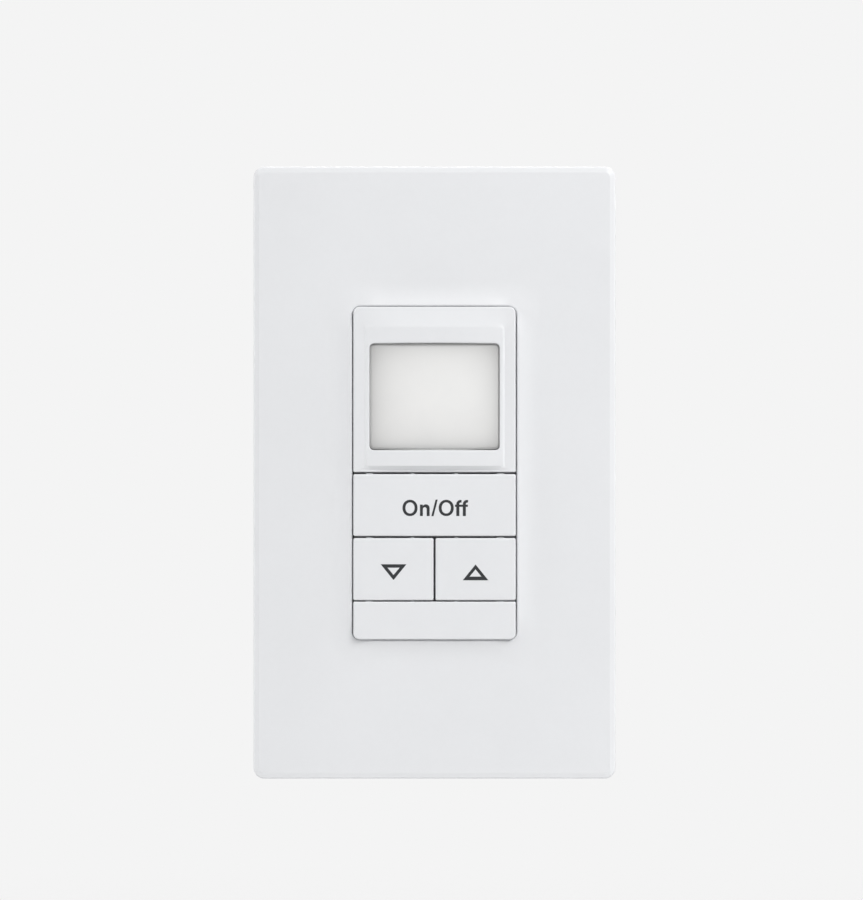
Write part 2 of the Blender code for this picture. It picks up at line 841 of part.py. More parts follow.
control_board = board("control_board", 17.4, -25.4, 25.4, (CONTROL_FRONT, CONTROL_REAR))
finish(control_board, board_green)

# infrared detector behind the lens
pir_base = rod("pir_base", 4.6, (0, 0.4, WINDOW_Z), 0.6, "Y", 24)
finish(pir_base, brass, 40)
pir_can = turned(
    "pir_can",
    [(0, 3.6), (3.8, 3.6), (4.1, 3.3), (4.1, 0.4), (4.6, 0.4), (4.6, -0.1), (3.7, -0.1), (3.7, 3.2), (0, 3.2)],
    (0, 0, WINDOW_Z),
    "-Y",
    24,
)
cut(
    pir_can,
    box("pir_opening", (-2.3, 2.3), (-5, -3.0), (WINDOW_Z - 1.7, WINDOW_Z + 1.7), cutters),
)
finish(pir_can, zinc_steel, 40)
pir_window = box("pir_window", (-2.55, 2.55), (-2.9, -2.4), (WINDOW_Z - 2.0, WINDOW_Z + 2.0))
finish(pir_window, filter_dark)
status_led = box("status_led", (7.6, 9.6), (0.0, CONTROL_FRONT - GAP), (8.4, 9.65))
finish(status_led, led_clear)
light_sensor = box("light_sensor", (-9.8, -7.2), (-0.2, CONTROL_FRONT - GAP), (8.0, 10.0))
finish(light_sensor, led_clear)

# tactile switches
for name, x, z in plungers:
    stem = name.replace("_button", "")
    base = box(f"{stem}_switch_base", (x - 3, x + 3), (-1.9, CONTROL_FRONT - GAP), (z - 3, z + 3))
    cut(base, rod(f"{stem}_switch_pocket", 2.3, (x, -3, z), 3.4, "Y", 16, None, cutters))
    finish(base, black_plastic, 35)
    cover = box(f"{stem}_switch_cover", (x - 3, x + 3), (-2.45, -2.2), (z - 3, z + 3))
    cut(cover, rod(f"{stem}_cover_hole", 1.85, (x, -4, z), 4, "Y", 16, None, cutters))
    finish(cover, zinc_steel, 35)
    dome = turned(
        f"{stem}_snap_dome",
        [(0, 0.5), (0.9, 0.42), (1.6, 0.2), (2.0, -0.08), (2.0, -0.2), (1.5, 0.05), (0.8, 0.27), (0, 0.35)],
        (x, 0, z),
        "-Y",
        14,
    )
    finish(dome, zinc_steel)
    plunger = turned(
        f"{stem}_plunger",
        [(0, 3.3), (1.3, 3.3), (1.5, 3.1), (1.5, 1.8), (2.0, 1.8), (2.0, 1.2), (0, 1.2)],
        (x, 0, z),
        "-Y",
        16,
    )
    finish(plunger, grey_plastic, 40)

microcontroller = box("microcontroller", (-3.5, 3.5), (3.2, 4.3), (-11.5, -4.5))
finish(microcontroller, chip_black)

# ------------------------------------------------------------ boards and rear
board_connector = box("board_connector", (-1.0, 11.7), (3.2, POWER_FRONT - GAP), (-22.5, -20.0))
finish(board_connector, black_plastic)

insulating_divider = board("insulating_divider", 17.0, -24.6, 25.2, (DIVIDER_FRONT, DIVIDER_REAR))
cut(
    insulating_divider,
    box("connector_slot", (-1.4, 12.1), (5, 9), (-22.9, -19.6), cutters),
)
for i, (x, z) in enumerate(((-16.1, 24.3), (16.1, 24.3), (-16.1, -21.6), (16.1, -23.6))):
    join(
        insulating_divider,
        box(
            f"divider_leg_{i}",
            (x - 0.8, x + 0.8),
            (CONTROL_REAR + GAP, POWER_FRONT - GAP),
            (z - 0.8, z + 0.8),
            cutters,
        ),
    )
finish(insulating_divider, grey_plastic)

power_board = board("power_board", 17.4, -25.4, 25.4, (POWER_FRONT, POWER_REAR))
finish(power_board, board_green)

BOARD_SEAT = POWER_FRONT - GAP
relay = box("relay", (-13.6, 1.6), (8.8, BOARD_SEAT), (2.5, 21.5))
soften(relay, 0.5, 1)
finish(relay, relay_black)
transformer = box("transformer", (3.2, 14.6), (13.0, BOARD_SEAT), (8.0, 20.0))
cut(
    transformer,
    box("core_side_low", (2, 5.2), (12, BOARD_SEAT - 2.4), (7, 10.0), cutters),
    box("core_side_high", (2, 5.2), (12, BOARD_SEAT - 2.4), (18.0, 21), cutters),
    box("core_far_low", (12.6, 16), (12, BOARD_SEAT - 2.4), (7, 10.0), cutters),
    box("core_far_high", (12.6, 16), (12, BOARD_SEAT - 2.4), (18.0, 21), cutters),
)
finish(transformer, coil_tape)
supply_capacitor = turned(
    "supply_capacitor",
    [(0, 24.3), (3.7, 24.3), (4.0, 24.0), (4.0, 23.2), (3.8, 22.9), (4.0, 22.6), (4.0, 10.3), (3.7, 10.0), (0, 10.0)],
    (9.0, 0, -1.8),
    "Y",
    20,
)
finish(supply_capacitor, capacitor_sleeve, 40)
film_capacitor = box("film_capacitor", (-13.0, 0.0), (12.3, BOARD_SEAT), (-9.5, -3.5))
soften(film_capacitor, 0.5, 1)
finish(film_capacitor, film_yellow)
surge_absorber = turned(
    "surge_absorber",
    [(0, 1.9), (3.2, 1.9), (4.0, 1.2), (4.0, -1.2), (3.2, -1.9), (0, -1.9)],
    (-8.0, 20.1, -14.5),
    "Z",
    20,
)
finish(surge_absorber, absorber_blue, 40)
fuse = turned(
    "fuse",
    [(0, 4.5), (2.1, 4.5), (2.1, 3.0), (1.9, 3.0), (1.9, -3.0), (2.1, -3.0), (2.1, -4.5), (0, -4.5)],
    (6.5, 22.0, -13.5),
    "X",
    16,
)
finish(fuse, fuse_ceramic, 40)

# ---------------------------------------------------------------- rear housing
rear_w, rear_h = REAR_W / 2, REAR_H / 2
rear_housing = slab(
    "rear_housing",
    rounded_rect((-rear_w, rear_w), (-rear_h, rear_h), REAR_CORNER, 4),
    (REAR_FRONT, REAR_BACK),
)


# a slab's own Z runs towards the front, so its back is the low end
soften_rim(rear_housing, 2, -1, 1.0, 2)
cut(
    rear_housing,
    slab(
        "rear_hollow",
        rounded_rect(
            (-rear_w + REAR_WALL, rear_w - REAR_WALL),
            (-rear_h + REAR_WALL, rear_h - REAR_WALL),
            1.0,
            2,
        ),
        (REAR_FRONT - 2, REAR_BACK - REAR_WALL),
        cutters,
    ),
)
# corner posts for the long screws, and the block round the ground screw
join(
    rear_housing,
    rod("post_a", HOUSING_POST_R, (POST_TOP[0], 0.6, POST_TOP[1]), 31.4, "Y", 16, None, cutters),
    rod("post_b", HOUSING_POST_R, (-POST_TOP[0], 0.6, POST_TOP[1]), 31.4, "Y", 16, None, cutters),
    rod("post_c", HOUSING_POST_R, (POST_LOW[0], 0.6, POST_LOW[1]), 31.4, "Y", 16, None, cutters),
    rod("post_d", HOUSING_POST_R, (-POST_LOW[0], 0.6, POST_LOW[1]), 31.4, "Y", 16, None, cutters),
    box(
        "ground_block",
        (-rear_w + 0.4, -11.1),
        (REAR_FRONT, 12.6),
        (-rear_h + 0.4, -23.7),
        cutters,
    ),
    # ledges that the power board rests on
    box("ledge_left", (-rear_w + 0.9, -16.2), (POWER_REAR + GAP, 32), (-22.0, 26.0), cutters),
    box("ledge_right", (16.2, rear_w - 0.9), (POWER_REAR + GAP, 32), (-2.0, 26.0), cutters),
)
cut(
    rear_housing,
    box("ground_notch", (-rear_w - 1, -12.4), (-2, 11.2), (-rear_h - 1, -25.0), cutters),
)
for name, (x, z) in (
    ("a", POST_TOP),
    ("b", (-POST_TOP[0], POST_TOP[1])),
    ("c", POST_LOW),
    ("d", (-POST_LOW[0], POST_LOW[1])),
):
    cut(
        rear_housing,
        rod(f"rear_hole_{name}", 1.55, (x, -2, z), 12, "Y", 12, None, cutters),
        rod(f"rear_sink_{name}", 2.6, (x, COUNTERBORE_Y - 2, z), 30, "Y", 16, None, cutters),
    )
# terminal windows: line and load on the left side, neutral on the right
TERMINALS = (("line", -1, TERMINAL_Z), ("load", -1, -TERMINAL_Z), ("neutral", 1, TERMINAL_Z))
for name, side, z in TERMINALS:
    cut(
        rear_housing,
        box(
            f"{name}_window",
            sorted((side * (rear_w + 1), side * (rear_w - REAR_WALL - 0.5))),
            (TERMINAL_Y - TERMINAL_HALF - 0.3, POWER_FRONT),
            (z - TERMINAL_HALF - 0.3, z + TERMINAL_HALF + 0.3),
            cutters,
        ),
    )
# corner opening for the dimming terminals
DIM_Z = (-18.2, -5.8)
cut(
    rear_housing,
    box(
        "dimming_notch",
        (12.4, rear_w + 1),
        (POWER_REAR, REAR_BACK + 1),
        (DIM_Z[0] - 0.35, DIM_Z[1] + 0.35),
        cutters,
    ),
    # shallow plain field in the back
    slab(
        "back_field",
        rounded_rect((-16.5, 9.5), (-21.0, 22.0), 1.0, 2),
        (REAR_BACK - 0.3, REAR_BACK + 1),
        cutters,
    ),
)
finish(rear_housing, black_plastic, 35)

# -------------------------------------------------------------------- screws


def pan_profile(head_r, head_h, shank_r, length, edge=0.35):
    """Head crown at height head_h, seat at 0, tip at -length."""
    return [
        (0, head_h),
        (head_r * 0.55, head_h * 0.97),
        (head_r * 0.88, head_h * 0.72),
        (head_r, head_h * 0.35),
        (head_r, 0),
        (shank_r, 0),
        (shank_r, -length + edge),
        (shank_r - edge, -length),
        (0, -length),
    ]


def screw(name, head_r, head_h, shank_r, length, seat, along, material, slot, cross=False, steps=16):
    obj = turned(name, pan_profile(head_r, head_h, shank_r, length), seat, along, steps)
    out = ALONG[along] @ Vector((0, 0, 1))
    face = [s + o * head_h for s, o in zip(seat, out)]
    cut(
        obj,
        slot_recess(f"{name}_slot", face, along, slot[0], head_r * 2 * slot[1], slot[2]),
    )
    if cross:
        cut(
            obj,
            slot_recess(f"{name}_cross", face, along, slot[0], head_r * 1.05, slot[2] * 1.15, 90),
        )
    return finish(obj, material, 40)


for label, side in (("upper", 1), ("lower", -1)):
    screw(
        f"plate_screw_{label}", 3.4, 1.5, 1.7, 12.0, (0, -2.6, side * PLATE_SCREW_Z),
        "-Y", zinc_steel, (0.9, 1.3, 0.8),
    )
    screw(
        f"box_screw_{label}", 3.7, 2.0, 1.75, 24.0, (0, -1.5, side * BOX_SCREW_Z),
        "-Y", zinc_steel, (1.0, 1.3, 1.0), True,
    )
for label, (x, z) in (
    ("upper_right", POST_TOP),
    ("upper_left", (-POST_TOP[0], POST_TOP[1])),
    ("lower_right", POST_LOW),
    ("lower_left", (-POST_LOW[0], POST_LOW[1])),
):
    screw(
        f"housing_screw_{label}", 2.2, 1.6, 1.2, 13.4, (x, COUNTERBORE_Y - 1.7, z),
        "Y", zinc_steel, (0.7, 0.62, 0.9), True, 14,
    )

for name, side, z in TERMINALS:
    metal = zinc_steel if name == "neutral" else brass
    xs = sorted((side * TERMINAL_FACE, side * (TERMINAL_FACE - 1.0)))
    plate = box(
        f"{name}_terminal_plate",
        xs,
        (TERMINAL_Y - TERMINAL_HALF, 24.2),
        (z - TERMINAL_HALF, z + TERMINAL_HALF),
    )
    join(
        plate,
        box(
            f"{name}_foot",
            sorted((side * 15.6, side * (TERMINAL_FACE - 0.5))),
            (23.3, 24.2),
            (z - 2.5, z + 2.5),
            cutters,
        ),
    )
    cut(
        plate,
        rod(
            f"{name}_tap",
            2.2,
            (side * 25, TERMINAL_Y, z),
            8,
            "-X" if side > 0 else "X",
            16,
            None,
            cutters,
        ),
    )
    finish(plate, metal, 35)
    screw(
        f"{name}_terminal_screw", 3.6, 2.1, 1.85, 4.6,
        (side * (TERMINAL_FACE + 0.3), TERMINAL_Y, z),
        "X" if side > 0 else "-X", metal, (1.0, 1.3, 0.9), True,
    )

screw(
    "ground_screw", 3.6, 2.3, 1.75, 3.4, (GROUND_X, 0.35, GROUND_Z),
    "Y", green_steel, (1.0, 1.3, 1.0),
)

# low-voltage terminals in the corner opening
dimming_terminal_block = box("dimming_terminal_block", (12.8, 21.1), (POWER_REAR + GAP, 32.7), DIM_Z)
for i, z in enumerate((-9.46, -14.54)):
    cut(
        dimming_terminal_block,
        rod(f"dim_well_{i}", 1.9, (16.6, 29.6, z), 5, "Y", 14, None, cutters),
        box(f"dim_entry_{i}", (18.9, 23), (27.6, 30.6), (z - 1.6, z + 1.6), cutters),
    )
    screw(
        f"dimming_terminal_screw_{i + 1}", 1.5, 1.3, 0.9, 0.9, (16.6, 31.0, z),
        "Y", zinc_steel, (0.6, 1.3, 0.5), False, 12,
    )
finish(dimming_terminal_block, terminal_green, 35)
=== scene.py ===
"""Looks of the wall-mounted occupancy sensor switch.

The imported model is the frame. The faces that show get fine surfaces here, at
the same places and sizes, and every piece gets its finish. Lengths below are
millimetres unless a name says otherwise: +X is to the right as seen from the
front, +Z is up and the front faces -Y.
"""

import json
import math

import bmesh
import bpy
from mathutils import Matrix, Vector


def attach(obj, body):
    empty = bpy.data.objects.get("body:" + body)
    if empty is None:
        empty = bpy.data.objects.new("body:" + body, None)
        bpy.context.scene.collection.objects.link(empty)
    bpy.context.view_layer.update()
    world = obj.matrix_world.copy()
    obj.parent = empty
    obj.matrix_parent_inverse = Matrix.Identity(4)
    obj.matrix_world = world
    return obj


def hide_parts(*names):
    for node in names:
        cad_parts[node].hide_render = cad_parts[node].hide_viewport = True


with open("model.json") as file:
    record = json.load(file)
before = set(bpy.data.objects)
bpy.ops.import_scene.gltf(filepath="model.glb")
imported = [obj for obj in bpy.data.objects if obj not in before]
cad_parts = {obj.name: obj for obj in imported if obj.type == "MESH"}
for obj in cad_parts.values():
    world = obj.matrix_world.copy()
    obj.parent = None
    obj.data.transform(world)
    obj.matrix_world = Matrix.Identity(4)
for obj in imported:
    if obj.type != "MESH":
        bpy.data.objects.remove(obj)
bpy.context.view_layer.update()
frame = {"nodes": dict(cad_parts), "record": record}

MM = 0.001
nodes = frame["nodes"]
scene = bpy.context.scene

# ------------------------------------------------------------------ materials


class Finish:
    """A material whose colour, roughness and surface come from nodes. Texture
    positions are in millimetres in the object's own frame."""

    def __init__(self, name, colour, roughness, metallic=0.0, **sockets):
        self.mat = bpy.data.materials.new(name)
        self.mat.use_nodes = True
        self.mat.diffuse_color = (*colour, 1.0)
        self.tree = self.mat.node_tree
        self.shader = self.tree.nodes["Principled BSDF"]
        self.colour = colour
        self.set("Base Color", (*colour, 1.0))
        self.set("Roughness", roughness)
        self.set("Metallic", metallic)
        for key, value in sockets.items():
            self.set(key.replace("_", " "), value)
        place = self.new("ShaderNodeTexCoord")
        to_mm = self.new("ShaderNodeMapping")
        to_mm.inputs["Scale"].default_value = (1000.0, 1000.0, 1000.0)
        self.link(place.outputs["Object"], to_mm.inputs["Vector"])
        self.position = to_mm.outputs["Vector"]
        self.height = None
        self._axes = None

    def new(self, kind):
        return self.tree.nodes.new(kind)

    def link(self, a, b):
        self.tree.links.new(a, b)

    def set(self, key, value):
        self.shader.inputs[key].default_value = value

    def _feed(self, socket, value):
        if isinstance(value, (int, float)):
            socket.default_value = value
        elif isinstance(value, (tuple, list)):
            socket.default_value = (*value, 1.0) if len(value) == 3 else value
        else:
            self.link(value, socket)

    def stretch(self, x, y, z, turn=(0.0, 0.0, 0.0)):
        """The position scaled along each axis."""
        node = self.new("ShaderNodeMapping")
        node.inputs["Scale"].default_value = (x, y, z)
        node.inputs["Rotation"].default_value = [math.radians(a) for a in turn]
        self.link(self.position, node.inputs["Vector"])
        return node.outputs["Vector"]

    def axes(self):
        if self._axes is None:
            node = self.new("ShaderNodeSeparateXYZ")
            self.link(self.position, node.inputs[0])
            self._axes = node.outputs
        return self._axes

    def noise(self, size, detail=2.0, rough=0.5, vector=None, distortion=0.0):
        """Noise whose features are about `size` mm across."""
        node = self.new("ShaderNodeTexNoise")
        node.inputs["Scale"].default_value = 1.0 / size
        node.inputs["Detail"].default_value = detail
        node.inputs["Roughness"].default_value = rough
        node.inputs["Distortion"].default_value = distortion
        self.link(self.position if vector is None else vector, node.inputs["Vector"])
        return node.outputs[0]

    def cells(self, size, vector=None, feature="F1", output="Distance"):
        node = self.new("ShaderNodeTexVoronoi")
        node.feature = feature
        node.inputs["Scale"].default_value = 1.0 / size
        self.link(self.position if vector is None else vector, node.inputs["Vector"])
        return node.outputs[output]

    def math(self, operation, a, b=0.0, clamp=False):
        node = self.new("ShaderNodeMath")
        node.operation = operation
        node.use_clamp = clamp
        self._feed(node.inputs[0], a)
        self._feed(node.inputs[1], b)
        return node.outputs[0]

    def remap(self, value, low, high, to_low=0.0, to_high=1.0, smooth=False):
        node = self.new("ShaderNodeMapRange")
        if smooth:
            node.interpolation_type = "SMOOTHSTEP"
        self._feed(node.inputs["Value"], value)
        node.inputs["From Min"].default_value = low
        node.inputs["From Max"].default_value = high
        node.inputs["To Min"].default_value = to_low
        node.inputs["To Max"].default_value = to_high
        return node.outputs["Result"]

    def mix(self, share, a, b):
        node = self.new("ShaderNodeMix")
        node.data_type = "RGBA"
        self._feed(node.inputs[0], share)
        self._feed(node.inputs[6], a)
        self._feed(node.inputs[7], b)
        return node.outputs[2]

    def tint(self, share, amount, base=None):
        """The base colour, lighter and darker by `amount` as share goes 0 to 1."""
        base = self.colour if base is None else base
        low = tuple(c * (1 - amount) for c in base)
        high = tuple(min(1.0, c * (1 + amount)) for c in base)
        return self.mix(share, low, high)

    def paint(self, colour):
        self.link(colour, self.shader.inputs["Base Color"])

    def gloss(self, value):
        self.link(value, self.shader.inputs["Roughness"])

    def metal(self, value):
        self.link(value, self.shader.inputs["Metallic"])

    def bump(self, height, depth, strength=1.0):
        """Adds a relief whose height 0 to 1 stands for `depth` mm."""
        node = self.new("ShaderNodeBump")
        node.inputs["Strength"].default_value = strength
        node.inputs["Distance"].default_value = depth * MM
        self.link(height, node.inputs["Height"])
        if self.height is not None:
            self.link(self.height, node.inputs["Normal"])
        self.height = node.outputs["Normal"]
        self.link(self.height, self.shader.inputs["Normal"])


def moulded(name, colour, roughness, cloud=0.010, speck=0.006, grain=0.0022, grain_size=0.22, **sockets):
    """Injection-moulded plastic: a fine spark-eroded grain, slow waves in the
    skin and a faint unevenness of colour and gloss."""
    f = Finish(name, colour, roughness, **sockets)
    slow = f.noise(26.0, 3.0, 0.55)
    fine = f.noise(0.9, 3.0, 0.6)
    share = f.math("ADD", f.math("MULTIPLY", slow, 0.7), f.math("MULTIPLY", fine, 0.3))
    low = tuple(c * (1 - cloud - speck) for c in colour)
    high = tuple(min(1.0, c * (1 + cloud + speck)) for c in colour)
    f.paint(f.mix(f.remap(share, 0.3, 0.7), low, high))
    mottle = f.noise(3.2, 4.0, 0.6)
    f.gloss(f.remap(mottle, 0.3, 0.7, roughness - 0.05, roughness + 0.06))
    f.bump(f.noise(9.0, 1.0, 0.4), 0.005)
    f.bump(f.noise(grain_size, 2.0, 0.65), grain)
    return f


def plated(name, colour, roughness, along=(1.0, 1.0, 0.08), tint=None, **sockets):
    """Plated sheet or turned metal with rolling marks along one axis."""
    f = Finish(name, colour, roughness, 1.0, **sockets)
    streaks = f.noise(0.35, 3.0, 0.6, f.stretch(*along))
    cloud = f.noise(5.0, 3.0, 0.6)
    base = f.tint(f.remap(streaks, 0.3, 0.7), 0.07)
    if tint is not None:
        base = f.mix(f.remap(cloud, 0.35, 0.75, 0.0, 0.45), base, tint)
    f.paint(base)
    f.gloss(f.remap(f.math("ADD", streaks, f.math("MULTIPLY", cloud, 0.5)), 0.5, 1.0, roughness - 0.08, roughness + 0.12))
    f.bump(streaks, 0.004)
    f.bump(f.noise(0.15, 2.0, 0.6), 0.0015)
    return f


PLATE_COLOUR = (0.760, 0.768, 0.784)
KEY_COLOUR = (0.758, 0.767, 0.784)
cover_plastic = moulded("cover_plastic", PLATE_COLOUR, 0.36, Coat_Weight=0.12, Coat_Roughness=0.22)
key_plastic = moulded("key_plastic", KEY_COLOUR, 0.40, Coat_Weight=0.08, Coat_Roughness=0.25)
frame_plastic = moulded("frame_plastic", (0.72, 0.728, 0.735), 0.46, cloud=0.02, grain=0.004, grain_size=0.3)
black_plastic = moulded("black_plastic", (0.022, 0.022, 0.024), 0.48, cloud=0.10, speck=0.08, grain=0.010, grain_size=0.30)
grey_plastic = moulded("grey_plastic", (0.30, 0.31, 0.32), 0.5, cloud=0.03, grain=0.004)
chip_black = moulded("chip_black", (0.02, 0.02, 0.021), 0.55, cloud=0.1, speck=0.1, grain=0.006, grain_size=0.12)
relay_black = moulded("relay_black", (0.03, 0.03, 0.034), 0.34, cloud=0.06, grain=0.003)
terminal_green = moulded("terminal_green", (0.045, 0.30, 0.11), 0.45, cloud=0.04, speck=0.02, grain=0.004)

zinc_steel = plated("zinc_steel", (0.60, 0.605, 0.60), 0.34, (1.0, 1.0, 0.06), (0.62, 0.60, 0.52))
screw_steel = plated("screw_steel", (0.60, 0.60, 0.59), 0.30, (1.0, 1.0, 1.0), (0.62, 0.59, 0.50))
brass = plated("brass", (0.74, 0.54, 0.24), 0.30, (1.0, 0.08, 1.0), (0.60, 0.42, 0.18))
green_steel = plated("green_steel", (0.05, 0.27, 0.10), 0.40, (1.0, 1.0, 1.0), (0.03, 0.20, 0.08))
green_steel.set("Metallic", 0.55)

print_ink = Finish("print_ink", (0.023, 0.025, 0.028), 0.6)
print_ink.paint(print_ink.tint(print_ink.remap(print_ink.noise(0.35, 3.0, 0.6), 0.3, 0.7), 0.10))
print_ink.bump(print_ink.noise(0.18, 2.0, 0.6), 0.003)

# board: solder mask over copper runs, with tinned spots
circuit_board = Finish("circuit_board", (0.020, 0.135, 0.052), 0.34)
f = circuit_board
runs = f.new("ShaderNodeTexBrick")
runs.offset = 0.37
runs.squash = 1.6
runs.squash_frequency = 3
runs.inputs["Scale"].default_value = 1.0
runs.inputs["Mortar Size"].default_value = 0.16
runs.inputs["Mortar Smooth"].default_value = 0.15
runs.inputs["Brick Width"].default_value = 3.3
runs.inputs["Row Height"].default_value = 1.45
turned_position = f.stretch(1.0, 1.0, 1.0, (90.0, 0.0, 0.0))
f.link(turned_position, runs.inputs["Vector"])
copper = runs.outputs["Fac"]
dots = f.remap(f.cells(2.9), 0.10, 0.14, 1.0, 0.0)
mask = f.mix(copper, (0.016, 0.115, 0.045), (0.035, 0.20, 0.075))
mask = f.mix(f.remap(f.noise(0.5, 3.0, 0.6), 0.35, 0.65, 0.0, 0.15), mask, (0.05, 0.22, 0.09))
f.paint(f.mix(dots, mask, (0.66, 0.66, 0.63)))
f.metal(f.remap(dots, 0.0, 1.0, 0.0, 0.9))
f.gloss(f.remap(dots, 0.0, 1.0, 0.34, 0.28))
f.bump(copper, 0.03)
f.bump(f.noise(0.25, 2.0, 0.6), 0.004)

# capacitor: shrunk sleeve with a bare aluminium end
capacitor_sleeve = Finish("capacitor_sleeve", (0.022, 0.030, 0.070), 0.32)
f = capacitor_sleeve
end = f.math("LESS_THAN", f.axes()["Y"], 10.25)
rim = f.noise(1.4, 3.0, 0.6)
f.paint(f.mix(end, f.tint(f.remap(rim, 0.3, 0.7), 0.15), (0.62, 0.63, 0.64)))
f.metal(end)
f.gloss(f.remap(rim, 0.3, 0.7, 0.26, 0.40))
f.bump(f.noise(0.6, 2.0, 0.5, f.stretch(1.0, 0.2, 1.0)), 0.02)

film_yellow = moulded("film_yellow", (0.74, 0.52, 0.07), 0.36, cloud=0.04, grain=0.003)
absorber_blue = moulded("absorber_blue", (0.03, 0.10, 0.38), 0.30, cloud=0.08, grain=0.02, grain_size=0.8)

# transformer: ferrite core at both ends, wound tape between
coil_tape = Finish("coil_tape", (0.70, 0.52, 0.12), 0.30)
f = coil_tape
from_middle = f.math("ABSOLUTE", f.math("SUBTRACT", f.axes()["Z"], 14.0))
core = f.math("GREATER_THAN", from_middle, 4.05)
laps = f.new("ShaderNodeTexWave")
laps.wave_type = "BANDS"
laps.bands_direction = "Z"
laps.inputs["Scale"].default_value = 0.35
laps.inputs["Distortion"].default_value = 0.4
f.link(f.position, laps.inputs["Vector"])
tape = f.tint(laps.outputs["Fac"], 0.10)
ferrite = f.tint(f.remap(f.noise(0.4, 3.0, 0.6), 0.3, 0.7), 0.25, (0.045, 0.045, 0.048))
f.paint(f.mix(core, tape, ferrite))
f.gloss(f.remap(core, 0.0, 1.0, 0.28, 0.62))
f.bump(laps.outputs["Fac"], 0.03)

# fuse: glazed ceramic between nickel caps
fuse_ceramic = Finish("fuse_ceramic", (0.74, 0.73, 0.69), 0.30)
f = fuse_ceramic
along = f.math("ABSOLUTE", f.math("SUBTRACT", f.axes()["X"], 6.5))
cap = f.math("GREATER_THAN", along, 2.98)
f.paint(f.mix(cap, f.tint(f.remap(f.noise(0.8, 3.0, 0.6), 0.3, 0.7), 0.04), (0.66, 0.64, 0.60)))
f.metal(cap)
f.gloss(f.remap(f.noise(0.7, 3.0, 0.6), 0.3, 0.7, 0.22, 0.36))
f.bump(f.noise(0.5, 2.0, 0.6), 0.004)

filter_dark = Finish("filter_dark", (0.030, 0.024, 0.024), 0.12, Coat_Weight=0.4, Coat_Roughness=0.05)
f = filter_dark
f.paint(f.tint(f.remap(f.noise(1.2, 2.0, 0.5), 0.3, 0.7), 0.3))
f.gloss(f.remap(f.noise(0.8, 3.0, 0.6), 0.3, 0.7, 0.08, 0.2))

led_clear = Finish("led_clear", (0.80, 0.80, 0.70), 0.18, Transmission_Weight=0.35, IOR=1.5)
f = led_clear
f.paint(f.tint(f.remap(f.noise(0.5, 2.0, 0.5), 0.3, 0.7), 0.06))
f.bump(f.noise(0.4, 2.0, 0.5), 0.006)

# lens: milky polyethylene. Its colour is darkened towards its edges, most at the top and left: partly the dark frame
# behind showing through, partly painted shade of the window's rim and recess. The grooves of the lens segments on its
# rear face show very faintly.
LENS_HALF_W, LENS_HALF_H, LENS_Z = 12.76, 10.52, 15.285
lens_plastic = Finish(
    "lens_plastic",
    (0.815, 0.815, 0.803),
    0.42,
    Subsurface_Weight=0.15,
    Subsurface_Radius=(1.0, 1.0, 1.0),
    Subsurface_Scale=0.0006,
)
f = lens_plastic
from_left = f.math("ADD", f.axes()["X"], LENS_HALF_W)
from_right = f.math("SUBTRACT", LENS_HALF_W, f.axes()["X"])
from_top = f.math("SUBTRACT", LENS_Z + LENS_HALF_H, f.axes()["Z"])
from_low = f.math("SUBTRACT", f.axes()["Z"], LENS_Z - LENS_HALF_H)


def painted_edge_shade(distance, reach, amount):
    """Painted edge shade: 1 - amount * exp(-distance / reach)"""
    fade = f.math("POWER", 2.718282, f.math("DIVIDE", f.math("MAXIMUM", distance, 0.0), -reach))
    return f.math("SUBTRACT", 1.0, f.math("MULTIPLY", fade, amount))


# painted shade: the lens colour darkens near each edge, most at the top and left and least at the bottom; clear is the
# share left unshaded
clear = painted_edge_shade(from_left, 2.9, 0.295)
for distance, reach, amount in (
    (from_right, 2.9, 0.215),
    (from_right, 1.15, 0.15),
    (from_top, 3.0, 0.325),
    (from_low, 2.6, 0.14),
    (from_low, 1.1, 0.18),
):
    clear = f.math("MULTIPLY", clear, painted_edge_shade(distance, reach, amount))
rings = f.new("ShaderNodeTexWave")
rings.wave_type = "RINGS"
rings.rings_direction = "SPHERICAL"
rings.inputs["Scale"].default_value = 0.9
cell = f.new("ShaderNodeVectorMath")
cell.operation = "WRAP"
f.link(f.position, cell.inputs[0])
cell.inputs[1].default_value = (4.233, 400.0, 18.7)
cell.inputs[2].default_value = (-4.233, -400.0, 11.8)
f.link(cell.outputs[0], rings.inputs["Vector"])
cloud = f.remap(f.noise(7.0, 3.0, 0.55), 0.3, 0.7)
milk = f.mix(cloud, (0.813, 0.811, 0.804), (0.829, 0.827, 0.817))
# the painted edge shade mixes the milky colour towards black
f.paint(f.mix(clear, (0.0, 0.0, 0.0), milk))
f.gloss(f.remap(f.noise(1.6, 3.0, 0.6), 0.3, 0.7, 0.36, 0.48))
f.bump(rings.outputs["Fac"], 0.0006)
f.bump(f.noise(0.3, 2.0, 0.6), 0.002)

SLOTS = {
    "cover_plastic": cover_plastic,
    "key_plastic": key_plastic,
    "lens_plastic": lens_plastic,
    "frame_plastic": frame_plastic,
    "black_plastic": black_plastic,
    "grey_plastic": grey_plastic,
    "zinc_steel": zinc_steel,
    "brass": brass,
    "green_steel": green_steel,
    "circuit_board": circuit_board,
    "chip_black": chip_black,
    "relay_black": relay_black,
    "capacitor_sleeve": capacitor_sleeve,
    "film_yellow": film_yellow,
    "coil_tape": coil_tape,
    "absorber_blue": absorber_blue,
    "fuse_ceramic": fuse_ceramic,
    "filter_dark": filter_dark,
    "led_clear": led_clear,
    "terminal_green": terminal_green,
}
SLOT_OF = {row["node"]: row["material_slot"] for row in frame["record"]["subparts"]}
BODY_OF = {
    name: body
    for body, members in frame["record"]["behaviour"]["bodies"].items()
    for name in members
}
for name, obj in nodes.items():
    obj.data.materials.clear()
    obj.data.materials.append(SLOTS[SLOT_OF[name]].mat)

# -------------------------------------------------------------- mesh building


